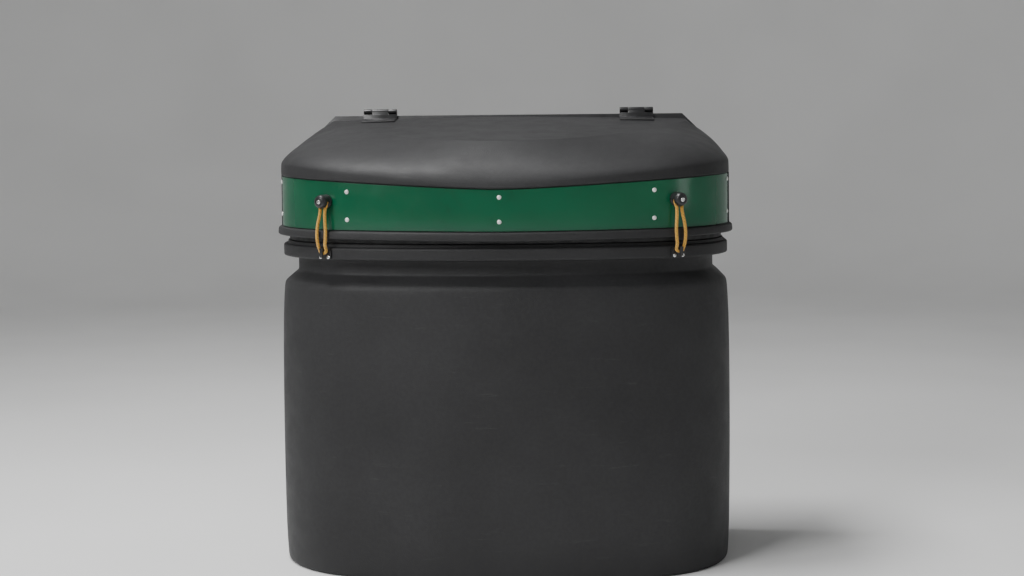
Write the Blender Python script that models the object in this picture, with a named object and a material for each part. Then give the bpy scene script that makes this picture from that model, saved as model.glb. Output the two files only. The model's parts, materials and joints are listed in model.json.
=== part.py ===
"""Twin gas cylinder housing for a trailer tongue: moulded case, hinged lid, cylinders inside.

Frame: +Z up, the front faces -Y, the flat back is at +Y, the case is symmetric about X = 0.
The housing stands on Z = 0 and the origin is the bottom centre. Metres.
"""
import math

import bmesh
import bpy
from mathutils import Matrix, Vector

# ---- plan of the moulded case (D shape) ----
HALF_W = 0.385  # lid skirt, about half of 30 in
FRONT_Y = -0.195
BOW_R = 0.932  # front bow
JOIN_X = 0.252  # where the bow meets the corner
CORNER_R = (HALF_W - JOIN_X) / (1 - JOIN_X / BOW_R)
LID_BACK_Y = 0.1855
BODY_BACK_Y = 0.1880
BACK_R = 0.020

# ---- heights ----
SKIRT_Z = (0.5560, 0.5605)  # centre, sides
LEDGE_Z = (0.5705, 0.5735)
BAND_TOP = (0.6390, 0.6585)
HOOD_Z = (0.6460, 0.6805)
BACK_RISE = 0.0145  # the hood's lower edge climbs this much towards the back
DECK_FRONT = -0.111
DECK_Z = 0.716
DECK_SLOPE = 0.1376
DECK_CROWN = 0.0060  # how much lower the deck is at its sides
CREASE_X = 0.317
CREASE_Y = 0.150
WALL = 0.004

# ---- hinge ----
AXIS_Y = 0.1895
AXIS_Z = 0.7670
BARREL_R = 0.0045
HINGE_X = 0.231
HINGE_L = 0.060

# ---- back panel ----
PANEL_Y = (0.1883, 0.1913)
PANEL_TOP = 0.7597

# ---- latches ----
KNOB_X = 0.2830
HOOK_X = 0.2866
RIM_D = 0.0062  # the rim face's inset from the lid's outline
FLARE = 0.0026  # the lid's skirt stands out this far beyond the outline
KNOB_Z = 0.620
HOOK_Z = 0.5405
CORD_R = 0.0027

# ---- cylinders (30 lb size) ----
TANK_X = 0.165
TANK_Y = 0.020
TANK_R = 0.155
TANK_Z = 0.0045
COLLAR_R = 0.100
SHEET = 0.0026  # tank wall


def clear_scene():
    for ob in list(bpy.data.objects):
        bpy.data.objects.remove(ob, do_unlink=True)


def material(name, rgb, metallic=0.0, rough=0.5):
    mat = bpy.data.materials.new(name)
    mat.use_nodes = True
    shader = mat.node_tree.nodes["Principled BSDF"]
    shader.inputs["Base Color"].default_value = (*rgb, 1.0)
    shader.inputs["Metallic"].default_value = metallic
    shader.inputs["Roughness"].default_value = rough
    return mat


def make(name, verts, faces, look, origin=(0, 0, 0), sharp=32):
    """One object from world-space vertices, with its origin where asked."""
    origin = Vector(origin)
    mesh = bpy.data.meshes.new(name)
    mesh.from_pydata([tuple(Vector(v) - origin) for v in verts], [], faces)
    bm = bmesh.new()
    bm.from_mesh(mesh)
    bmesh.ops.recalc_face_normals(bm, faces=bm.faces)
    if bm.calc_volume(signed=True) < 0:
        bmesh.ops.reverse_faces(bm, faces=bm.faces)
    bm.to_mesh(mesh)
    bm.free()
    mesh.shade_smooth()
    mesh.set_sharp_from_angle(angle=math.radians(sharp))
    mesh.materials.append(material(name, *look))
    ob = bpy.data.objects.new(name, mesh)
    ob.location = origin
    bpy.context.scene.collection.objects.link(ob)
    return ob


def combine(base, tool, operation):
    """Apply a Boolean of two objects to the first and drop the second."""
    mod = base.modifiers.new("bool", "BOOLEAN")
    mod.operation = operation
    mod.solver = "EXACT"
    mod.object = tool
    bpy.context.view_layer.update()
    graph = bpy.context.evaluated_depsgraph_get()
    mesh = bpy.data.meshes.new_from_object(base.evaluated_get(graph))
    base.modifiers.clear()
    base.data = mesh
    bpy.data.objects.remove(tool, do_unlink=True)
    mesh.shade_smooth()
    mesh.set_sharp_from_angle(angle=math.radians(32))
    return base


def frame_to(direction, at=(0, 0, 0), up=(0, 0, 1)):
    """Matrix whose local Z is the direction and whose local Y is as near to up as it can be."""
    z = Vector(direction).normalized()
    x = Vector(up).cross(z).normalized()
    y = z.cross(x)
    m = Matrix((x, y, z)).transposed().to_4x4()
    m.translation = Vector(at)
    return m


def lathe(name, profile, look, at=(0, 0, 0), axis=(0, 0, 1), segs=24, origin=None, sharp=32):
    """Revolve a profile of (radius, height). It is closed, or it starts and ends on the axis."""
    up = (0, 0, 1) if abs(Vector(axis).normalized().z) < 0.9 else (0, 1, 0)
    m = frame_to(axis, at, up)
    verts, rings = [], []
    for r, h in profile:
        if r < 1e-9:
            rings.append([len(verts)])
            verts.append(m @ Vector((0, 0, h)))
            continue
        rings.append(list(range(len(verts), len(verts) + segs)))
        for k in range(segs):
            a = 2 * math.pi * k / segs
            verts.append(m @ Vector((r * math.cos(a), r * math.sin(a), h)))
    poles = len(rings[0]) == 1
    pairs = list(zip(rings, rings[1:]))
    if not poles:
        pairs.append((rings[-1], rings[0]))
    faces = []
    for lo, hi in pairs:
        for k in range(segs):
            n = (k + 1) % segs
            if len(lo) == 1:
                faces.append((lo[0], hi[n], hi[k]))
            elif len(hi) == 1:
                faces.append((lo[k], lo[n], hi[0]))
            else:
                faces.append((lo[k], lo[n], hi[n], hi[k]))
    return make(name, verts, faces, look, at if origin is None else origin, sharp)


def prism(name, outline, z0, z1, look, m=None, holes=(), origin=(0, 0, 0), sharp=32):
    """Extrude an outline of (x, y), with holes, between two heights of a local frame."""
    m = m or Matrix.Identity(4)
    bm = bmesh.new()
    loops = [list(outline)] + [list(h) for h in holes]
    edges, low = [], []
    for loop in loops:
        vs = [bm.verts.new((p[0], p[1], 0)) for p in loop]
        low.append(vs)
        edges += [bm.edges.new((vs[i], vs[(i + 1) % len(vs)])) for i in range(len(vs))]
    if holes:
        bmesh.ops.triangle_fill(bm, edges=edges, use_beauty=True, use_dissolve=False)
        caps = [tuple(v.index for v in f.verts) for f in indexed(bm).faces]
    else:
        caps = [tuple(range(len(outline)))]
    flat = [v for vs in low for v in vs]
    n = len(flat)
    order = {v: i for i, v in enumerate(flat)}
    if holes:
        caps = [tuple(order[v] for v in f.verts) for f in bm.faces]
    pts = [Vector(v.co) for v in flat]
    bm.free()
    verts = [m @ Vector((p.x, p.y, z0)) for p in pts] + [m @ Vector((p.x, p.y, z1)) for p in pts]
    faces = [tuple(reversed(c)) for c in caps] + [tuple(i + n for i in c) for c in caps]
    start = 0
    for loop in loops:
        k = len(loop)
        for i in range(k):
            a, b = start + i, start + (i + 1) % k
            faces.append((a, b, b + n, a + n))
        start += k
    return make(name, verts, faces, look, origin, sharp)


def indexed(bm):
    bm.verts.ensure_lookup_table()
    bm.verts.index_update()
    return bm


def circle(r, n, cx=0.0, cy=0.0):
    step = 2 * math.pi / n
    return [(cx + r * math.cos(k * step), cy + r * math.sin(k * step)) for k in range(n)]


def round_rect(x0, y0, x1, y1, r, n=4):
    out = []
    for cx, cy, a0 in ((x1 - r, y1 - r, 0), (x0 + r, y1 - r, 90), (x0 + r, y0 + r, 180), (x1 - r, y0 + r, 270)):
        for k in range(n + 1):
            a = math.radians(a0 + 90 * k / n)
            out.append((cx + r * math.cos(a), cy + r * math.sin(a)))
    return out


def tube(name, path, radius, look, segs=10, closed=False, ref=None, origin=(0, 0, 0)):
    """Sweep a circle along points. ref fixes the twist where the path is closed."""
    pts = [Vector(p) for p in path]
    n = len(pts)
    verts, normal = [], None
    for i, p in enumerate(pts):
        prev = pts[i - 1] if i or closed else p
        nxt = pts[(i + 1) % n] if i < n - 1 or closed else p
        t = (nxt - prev).normalized()
        if ref is not None:
            side = Vector(ref).cross(t).normalized()
        else:
            if normal is None:
                normal = t.orthogonal().normalized()
            normal = (normal - t * normal.dot(t)).normalized()
            side = normal
        up = t.cross(side)
        for k in range(segs):
            a = 2 * math.pi * k / segs
            verts.append(p + side * (radius * math.cos(a)) + up * (radius * math.sin(a)))
    faces = []
    for i in range(n if closed else n - 1):
        a, b = i * segs, ((i + 1) % n) * segs
        for k in range(segs):
            q = (k + 1) % segs
            faces.append((a + k, a + q, b + q, b + k))
    if not closed:
        faces += [tuple(range(segs))[::-1], tuple(range((n - 1) * segs, n * segs))]
    return make(name, verts, faces, look, origin)


def spline(points, per=6, closed=False):
    """Catmull-Rom curve through points."""
    p = [Vector(q) for q in points]
    n = len(p)
    out = []
    for i in range(n if closed else n - 1):
        a = p[i - 1] if i or closed else p[0]
        b, c = p[i], p[(i + 1) % n]
        d = p[(i + 2) % n] if closed or i + 2 < n else p[-1]
        for k in range(per):
            u = k / per
            out.append(
                0.5 * (2 * b + (c - a) * u + (2 * a - 5 * b + 4 * c - d) * u * u
                       + (3 * b - a - 3 * c + d) * u**3)
            )
    if not closed:
        out.append(p[-1])
    return out


# ---- the D outline ----
SIDE_LID = (LID_BACK_Y, 0.173, 0.161, 0.148, 0.115, 0.080, 0.045)
CORNER_LID = (0, 5, 6, 14, 24, 34, 44, 54, 64)  # degrees from the side
CORNER_BODY = (0, 9, 19, 29, 40, 51, 63)
N_CORNER = len(CORNER_LID)
N_BOW = 7


def half_outline(side, corner=CORNER_LID):
    """Points from the back, round the right-hand corner, to the middle of the front.

    Each is (x, y, nx, ny) on the lid's skirt, with its outward normal."""
    join = math.asin(JOIN_X / BOW_R)
    cx = HALF_W - CORNER_R
    cy = FRONT_Y + BOW_R * (1 - math.cos(join)) + CORNER_R * math.cos(join)
    out = [(HALF_W, y, 1.0, 0.0) for y in side]
    for deg in corner:
        a = math.radians(deg)
        out.append((cx + CORNER_R * math.cos(a), cy - CORNER_R * math.sin(a), math.cos(a), -math.sin(a)))
    for k in range(N_BOW + 1):
        a = join * (1 - k / N_BOW)
        out.append((BOW_R * math.sin(a), FRONT_Y + BOW_R * (1 - math.cos(a)), math.sin(a), -math.cos(a)))
    return out


def full_outline(side, corner=CORNER_LID):
    """The whole D from the right back corner, round the front, to the left back corner."""
    half = half_outline(side, corner)
    left = [(-x, y, -nx, ny) for x, y, nx, ny in reversed(half[:-1])]
    return half + left


def inset(p, d):
    return p[0] - p[2] * d, p[1] - p[3] * d


def vee(x):
    """0 at the middle and 1 at the sides, straight but for a soft middle."""
    soft = 0.02
    return (math.sqrt((x / HALF_W) ** 2 + soft) - math.sqrt(soft)) / (
        math.sqrt(1 + soft) - math.sqrt(soft)
    )


def mix(pair, w):
    return pair[0] + (pair[1] - pair[0]) * w


def deck_z(x, y):
    drop = (math.sqrt((x / 0.31) ** 2 + 0.02) - math.sqrt(0.02)) / (math.sqrt(1.02) - math.sqrt(0.02))
    return DECK_Z + DECK_SLOPE * (y - DECK_FRONT) - DECK_CROWN * drop


def crease_y(x):
    return DECK_FRONT + (CREASE_Y - DECK_FRONT) * (x / CREASE_X) ** 2


def interpolate(keys, s):
    for (s0, *a), (s1, *b) in zip(keys, keys[1:]):
        if s <= s1:
            f = (s - s0) / (s1 - s0)
            return [u + (v - u) * f for u, v in zip(a, b)]
    return list(keys[-1][1:])


# ---- lid ----
BAND_END = 6.3  # the band ends here on each corner (degrees from the side)


def lid_profile(p):
    """Rows below the hood, outer and inner: (inset, height) pairs for one plan position."""
    w = vee(p[0])
    skirt, ledge, top = mix(SKIRT_Z, w), mix(LEDGE_Z, w), mix(BAND_TOP, w)
    back = max(0.0, p[1] / LID_BACK_Y) * BACK_RISE
    hood = mix(HOOD_Z, w) + back
    deep = 0.0 if abs(p[2]) > math.cos(math.radians(5.5)) else 1.0
    a, b = 0.0030 + 0.0040 * deep, 0.0038 + 0.0040 * deep
    outer = [
        (0.0015 - FLARE, skirt),
        (-FLARE, skirt + 0.0018),
        (0.0006 - FLARE, ledge - 0.0025),
        (0.0020 - FLARE, ledge - 0.0006),
        (a, ledge + 0.0008),
        (a, ledge + 0.0045),
        (a + 0.0001, ledge + 0.0110),
        (b, top),
        (0.0042, top + 0.0012),
        (0.0038, top + 0.0035),
        (0.0042, hood - 0.0030),
    ]
    inner = [
        (0.0026, skirt + 0.0003),
        (0.0032, skirt + 0.0020),
        (0.0038, ledge - 0.0055),
        (0.0068, ledge - 0.0036),
        (0.0240, ledge - 0.0034),
        (0.0240, ledge + 0.0045),
        (0.0124, ledge + 0.0120),
        (0.0122, top - 0.0020),
        (0.0104, top + 0.0005),
        (0.0085, top + 0.0030),
        (0.0082, hood - 0.0040),
    ]
    return outer, inner, hood


def crease_points(half):
    """Where each outline column meets the edge of the deck."""
    out = []
    last = 3
    rest = len(half) - 1 - last
    for i, p in enumerate(half):
        if i <= last:
            y = LID_BACK_Y + (CREASE_Y - LID_BACK_Y) * i / last
            out.append((CREASE_X, y))
            continue
        if i <= len(SIDE_LID) - 1:
            f = (i - last) / (len(SIDE_LID) - last)
            x = CREASE_X - 0.034 * f
        elif i < len(SIDE_LID) + N_CORNER:
            f = (i - len(SIDE_LID)) / N_CORNER
            x = CREASE_X - 0.034 - 0.072 * f
        else:
            f = (i - len(SIDE_LID) - N_CORNER) / N_BOW
            x = (CREASE_X - 0.106) * (1 - f)
        out.append((x, crease_y(x)))
    return out


# along the outline from back to front: where the hood's two handles lie, as shares of its run and rise
HOOD_KEYS = [(0.0, 0.24, 0.30, 0.66, 0.68), (0.22, 0.14, 0.46, 0.63, 0.86), (0.45, 0.08, 0.46, 0.60, 0.88),
             (0.62, 0.06, 0.40, 0.57, 0.81), (1.0, 0.06, 0.34, 0.53, 0.70)]
HOOD_STEPS = (0.0, 0.08, 0.24, 0.44, 0.66, 0.86, 0.965, 1.0)
DECK_STEPS = (0.06, 0.5, 1.0)


def lid_surface():
    """Grids of points for the lid's outside and inside, with the faces both share."""
    half = half_outline(SIDE_LID)
    line = full_outline(SIDE_LID)
    crease = crease_points(half)
    crease = crease + [(-x, y) for x, y in reversed(crease[:-1])]
    mid = len(half) - 1
    outer, inner = [], []
    for i, p in enumerate(line):
        prof_out, prof_in, hood = lid_profile(p)
        outer.append([(*inset(p, d), z) for d, z in prof_out])
        inner.append([(*inset(p, d), z) for d, z in prof_in])
        s = min(i, len(line) - 1 - i) / mid
        ha, va, hb, vb = interpolate(HOOD_KEYS, s)
        p0 = Vector((*inset(p, 0.0048), hood))
        q = crease[i]
        p2 = Vector((q[0], q[1], deck_z(*q)))
        span = p2 - p0
        pa = p0 + Vector((span.x * ha, span.y * ha, span.z * va))
        pb = p0 + Vector((span.x * hb, span.y * hb, span.z * vb))
        for u in HOOD_STEPS:
            w = 1 - u
            outer[-1].append(tuple(p0 * w**3 + pa * (3 * u * w * w) + pb * (3 * u * u * w) + p2 * u**3))
    return outer, inner, crease


def build_lid(look):
    outer, inner, crease = lid_surface()
    n_col, n_row = len(outer), len(outer[0])
    verts = [p for col in outer for p in col]
    index = {(i, j): i * n_row + j for i in range(n_col) for j in range(n_row)}
    top = n_row - 1
    last = 3
    deck = {}
    for i in range(last, n_col - last):
        x, y0 = crease[i]
        deck[i, 0] = index[i, top]
        for k, f in enumerate(DECK_STEPS, 1):
            if i in (last, n_col - 1 - last):
                continue
            y = y0 + (LID_BACK_Y - y0) * f
            deck[i, k] = len(verts)
            verts.append((x, y, deck_z(x, y)))
    faces = []
    for i in range(n_col - 1):
        for j in range(n_row - 1):
            faces.append((index[i, j], index[i + 1, j], index[i + 1, j + 1], index[i, j + 1]))
    steps = len(DECK_STEPS)
    for i in range(last + 1, n_col - 2 - last):
        for k in range(steps):
            faces.append((deck[i, k], deck[i + 1, k], deck[i + 1, k + 1], deck[i, k + 1]))
    for edge, sign in ((last, 1), (n_col - 1 - last, -1)):
        chain = [index[edge - sign * k, top] for k in range(last + 1)]
        col = [deck[edge + sign, k] for k in range(steps + 1)]
        faces.append((chain[0], col[0], col[1]))
        for k in range(1, steps):
            faces.append((chain[k - 1], col[k], col[k + 1], chain[k]))
    outside = [Vector(v) for v in verts]
    shell = bmesh.new()
    vs = [shell.verts.new(v) for v in outside]
    for f in faces:
        shell.faces.new([vs[k] for k in f])
    bmesh.ops.recalc_face_normals(shell, faces=shell.faces)
    shell.normal_update()
    flip = -1 if vs[deck[n_col // 2, 2]].normal.z < 0 else 1
    inside = [v - vs[i].normal * (flip * WALL) for i, v in enumerate(outside)]
    shell.free()
    fixed = len(inner[0])
    for i in range(n_col):
        for j in range(fixed):
            inside[index[i, j]] = Vector(inner[i][j])
    for k, v in enumerate(outside):
        if abs(v.y - LID_BACK_Y) < 1e-6:
            inside[k].y = LID_BACK_Y
    n = len(outside)
    both = outside + inside
    count = {}
    for f in faces:
        for a, b in zip(f, f[1:] + f[:1]):
            count.setdefault((min(a, b), max(a, b)), []).append((a, b))
    rims = [(b, a, a + n, b + n) for (a, b), *more in count.values() if not more]
    allf = faces + [tuple(k + n for k in reversed(f)) for f in faces] + rims
    return make("lid_shell", both, allf, look, (0, AXIS_Y, AXIS_Z))


def build_band(look):
    """The painted strip in the lid's recess."""
    line = full_outline((), (BAND_END,) + CORNER_LID[3:])
    rows = []
    for p in line:
        w = vee(p[0])
        rows.append((mix(LEDGE_Z, w) + 0.0014, mix(BAND_TOP, w) - 0.0006))
    verts = []
    for p, (lo, hi) in zip(line, rows):
        for d, z in ((0.0052, lo), (0.0058, hi), (0.0068, hi), (0.0064, lo)):
            verts.append((*inset(p, d), z))
    faces = []
    for i in range(len(line) - 1):
        a, b = 4 * i, 4 * (i + 1)
        for k in range(4):
            q = (k + 1) % 4
            faces.append((a + k, a + q, b + q, b + k))
    faces += [(0, 1, 2, 3), tuple(range(4 * len(line) - 4, 4 * len(line)))[::-1]]
    return make("trim_band", verts, faces, look, (0, AXIS_Y, AXIS_Z))


def on_front(x, d):
    """Point at X on the case's front at an inset, and the outward normal there."""
    sign = 1 if x >= 0 else -1
    join = math.asin(JOIN_X / BOW_R)
    cy = FRONT_Y + BOW_R * (1 - math.cos(join)) + CORNER_R * math.cos(join)
    ax = abs(x)
    if ax <= (BOW_R - d) * math.sin(join):
        a = math.asin(ax / (BOW_R - d))
        y = FRONT_Y + BOW_R - (BOW_R - d) * math.cos(a)
        n = Vector((math.sin(a), -math.cos(a), 0))
    else:
        c = min(1.0, (ax - HALF_W + CORNER_R) / (CORNER_R - d))
        a = math.acos(c)
        y = cy - (CORNER_R - d) * math.sin(a)
        n = Vector((math.cos(a), -math.sin(a), 0))
    n.x *= sign
    return Vector((x, y, 0)), n


def rivet(name, x, z, look):
    p, n = on_front(x, 0.0052)
    p.z = z
    r = 0.0036
    profile = [(0, 0.0002), (r, 0.0002), (r * 0.94, 0.0009), (r * 0.62, 0.0018), (0, 0.0022)]
    lathe(name, profile, look, p, n, 10, (0, AXIS_Y, AXIS_Z), 60)


# ---- body ----
BODY_ROWS = [
    (0.0095, 0.0060, 0.0000), (0.0055, 0.0020, 0.0018), (0.0034, 0.0000, 0.0085), (0.0012, 0.0000, 0.0600),
    (0.0004, 0.0000, 0.1600), (0.0010, 0.0000, 0.3000), (0.0034, 0.0000, 0.4200), (0.0062, 0.0000, 0.4680),
    (0.0080, 0.0000, 0.4785), (0.0120, 0.0000, 0.4835), (0.0285, 0.0000, 0.4975), (0.0310, 0.0000, 0.5015),
    (0.0310, 0.0000, 0.5210), (0.0290, 0.0000, 0.5235), (0.0078, 0.0000, 0.5248), (RIM_D, 0.0000, 0.5264),
    (RIM_D, 0.0000, 0.5422), (0.0076, 0.0000, 0.5442), (0.0130, 0.0000, 0.5450), (0.0138, 0.0000, 0.5498),
    (0.0150, 0.0006, 0.5510), (0.0235, 0.0040, 0.5510), (0.0245, 0.0045, 0.5498), (0.0250, 0.0045, 0.5320),
    (0.0355, 0.0045, 0.5220), (0.0355, 0.0045, 0.5000), (0.0165, 0.0045, 0.4790), (0.0115, 0.0045, 0.4660),
    (0.0055, 0.0045, 0.3000), (0.0050, 0.0045, 0.1600), (0.0075, 0.0045, 0.0120), (0.0100, 0.0070, 0.0020),
]
SIDE_BODY = (0.166, 0.120, 0.065)


def body_loop(d, e, back_y=BODY_BACK_Y):
    """One level of the case: the D inset by d, and the flat back inset by e."""
    pts = [inset(p, d) for p in full_outline(SIDE_BODY, CORNER_BODY)]
    w = HALF_W - d - BACK_R
    y0 = SIDE_BODY[0]
    rise = back_y - e - y0
    arc = [math.radians(a) for a in (22.5, 45, 67.5, 90)]
    left = [(-w - BACK_R * math.cos(a), y0 + rise * math.sin(a)) for a in arc]
    flat = [(w * (k / 2 - 1), back_y - e) for k in range(1, 4)]
    right = [(-x, y) for x, y in reversed(left)]
    return pts + left + flat + right


def ring_solid(name, rows, look, loop, origin=(0, 0, 0)):
    """Close a ring of rows, each a closed loop, into one solid."""
    verts = []
    for row in rows:
        verts += [(x, y, row[-1]) for x, y in loop(*row[:-1])]
    n = len(verts) // len(rows)
    faces = []
    for j in range(len(rows)):
        a, b = j * n, ((j + 1) % len(rows)) * n
        for k in range(n):
            q = (k + 1) % n
            faces.append((a + k, a + q, b + q, b + k))
    return make(name, verts, faces, look, origin)


def build_gasket(look):
    """Seal strip on the case's lip, round the front and sides."""
    line = full_outline((0.180, 0.120, 0.065), CORNER_BODY)
    verts = []
    for p in line:
        hi = mix(LEDGE_Z, vee(p[0])) - 0.0037
        for d, z in ((0.0165, 0.5513), (0.0165, hi - 0.002), (0.0180, hi), (0.0212, hi), (0.0225, hi - 0.002),
                     (0.0225, 0.5513)):
            verts.append((*inset(p, d), z))
    faces = []
    k6 = 6
    for i in range(len(line) - 1):
        a, b = k6 * i, k6 * (i + 1)
        for k in range(k6):
            q = (k + 1) % k6
            faces.append((a + k, a + q, b + q, b + k))
    faces += [tuple(range(k6)), tuple(range(len(verts) - k6, len(verts)))[::-1]]
    return make("rim_gasket", verts, faces, look)


def build_tray(look):
    """Floor pan: a plate with an upturned edge, inside the foot of the case."""
    rows = [(0.0112, 0.0080, 0.0), (0.0108, 0.0076, 0.0020), (0.0098, 0.0070, 0.0200), (0.0123, 0.0095, 0.0200),
            (0.0138, 0.0110, 0.0042)]
    verts = []
    for d, e, z in rows:
        verts += [(x, y, z) for x, y in body_loop(d, e)]
    n = len(verts) // len(rows)
    faces = []
    for j in range(len(rows) - 1):
        a, b = j * n, (j + 1) * n
        for k in range(n):
            q = (k + 1) % n
            faces.append((a + k, a + q, b + q, b + k))
    faces += [tuple(range(n))[::-1], tuple(range((len(rows) - 1) * n, len(rows) * n))]
    tray = make("base_tray", verts, faces, look)
    hole = lathe("hole", [(0, -0.01), (0.0105, -0.01), (0.0105, 0.02), (0, 0.02)], look, (0, -0.060, 0), segs=16)
    return combine(tray, hole, "DIFFERENCE")


def build_panel(look):
    side = [(0.3130, PANEL_TOP), (0.3820, 0.6935), (0.3815, 0.5620), (0.3400, 0.5490), (0.3400, 0.4500)]
    outline = side + [(-x, z) for x, z in reversed(side)]
    m = frame_to((0, 1, 0), (0, 0, 0))
    flat = [(-x, z) for x, z in outline]
    prism("back_panel", flat, PANEL_Y[0], PANEL_Y[1], look, m)


# ---- hinges ----
def bar_x(name, x0, x1, outline, look, origin):
    """Extrude a (y, z) outline along X."""
    n = len(outline)
    verts = [(x0, y, z) for y, z in outline] + [(x1, y, z) for y, z in outline]
    faces = [tuple(range(n)), tuple(range(n, 2 * n))[::-1]]
    faces += [(k, (k + 1) % n, (k + 1) % n + n, k + n) for k in range(n)]
    return make(name, verts, faces, look, origin)


def knuckle(name, x0, x1, look, origin, bore=0.0022):
    profile = [(bore, 0), (BARREL_R - 0.0004, 0), (BARREL_R, 0.0004), (BARREL_R, x1 - x0 - 0.0004),
               (BARREL_R - 0.0004, x1 - x0), (bore, x1 - x0)]
    return lathe(name, profile, look, (x0, AXIS_Y, AXIS_Z), (1, 0, 0), 12, origin)


def build_hinge(side, look, pin_look):
    """One butt hinge: lid leaf with the middle knuckle, frame leaf with two, and a pin."""
    tag = "r" if side > 0 else "l"
    cx = side * HINGE_X
    x0, x1 = cx - HINGE_L / 2, cx + HINGE_L / 2
    a, b = x0 + 0.0155, x1 - 0.0155
    org = (cx, AXIS_Y, AXIS_Z)
    # frame leaf, on the back of the panel
    y0, y1 = PANEL_Y[1] + 0.0003, PANEL_Y[1] + 0.0022
    leaf = bar_x("hinge_frame_leaf_" + tag, x0, x1,
                 [(y0, 0.7250), (y1, 0.7250), (y1, AXIS_Z - 0.0056), (y0, AXIS_Z - 0.0056)], look, org)
    for k0, k1 in ((x0, a - 0.0003), (b + 0.0003, x1)):
        neck = bar_x("neck", k0, k1, [(y0, AXIS_Z - 0.0080), (y1, AXIS_Z - 0.0080), (y1, AXIS_Z - 0.0012),
                                      (y0, AXIS_Z - 0.0012)], look, org)
        tool = bar_x("room", k0 - 0.01, k1 + 0.01,
                     [(AXIS_Y + 0.0030 * math.cos(t * math.pi / 6), AXIS_Z + 0.0030 * math.sin(t * math.pi / 6))
                      for t in range(12)], look, org)
        combine(neck, tool, "DIFFERENCE")
        combine(leaf, neck, "UNION")
        combine(leaf, knuckle("k", k0, k1, look, org), "UNION")
    # lid leaf, on the deck
    ya, yb = 0.1470, 0.1853
    near = HINGE_X - HINGE_L / 2
    za, zb = deck_z(near, ya) + 0.0004, deck_z(near, yb) + 0.0004
    edge = yb - 0.0020
    lid = bar_x("hinge_lid_leaf_" + tag, x0, x1,
                [(ya, za), (yb, zb), (yb, AXIS_Z - 0.0052), (edge, AXIS_Z - 0.0052),
                 (edge, deck_z(near, edge) + 0.0024), (ya, za + 0.0020)], look, org)
    fall = (deck_z(near, yb) - deck_z(near + HINGE_L, yb)) / HINGE_L
    for v in lid.data.vertices:
        if v.co.z + org[2] < AXIS_Z - 0.0056:
            v.co.z -= fall * max(0.0, abs(v.co.x + org[0]) - near)
    riser = bar_x("riser", a, b, [(edge, AXIS_Z - 0.0075), (yb, AXIS_Z - 0.0075), (yb + 0.0010, AXIS_Z - 0.0012),
                                  (edge + 0.0014, AXIS_Z - 0.0006)], look, org)
    tool = bar_x("room", a - 0.01, b + 0.01,
                 [(AXIS_Y + 0.0030 * math.cos(t * math.pi / 6), AXIS_Z + 0.0030 * math.sin(t * math.pi / 6))
                  for t in range(12)], look, org)
    combine(riser, tool, "DIFFERENCE")
    combine(lid, riser, "UNION")
    combine(lid, knuckle("k", a, b, look, org), "UNION")
    pin = [(0, 0), (0.0015, 0), (0.0019, 0.0006), (0.0019, HINGE_L - 0.0006), (0.0015, HINGE_L), (0, HINGE_L)]
    lathe("hinge_pin_" + tag, pin, pin_look, (x0, AXIS_Y, AXIS_Z), (1, 0, 0), 12, org)


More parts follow.
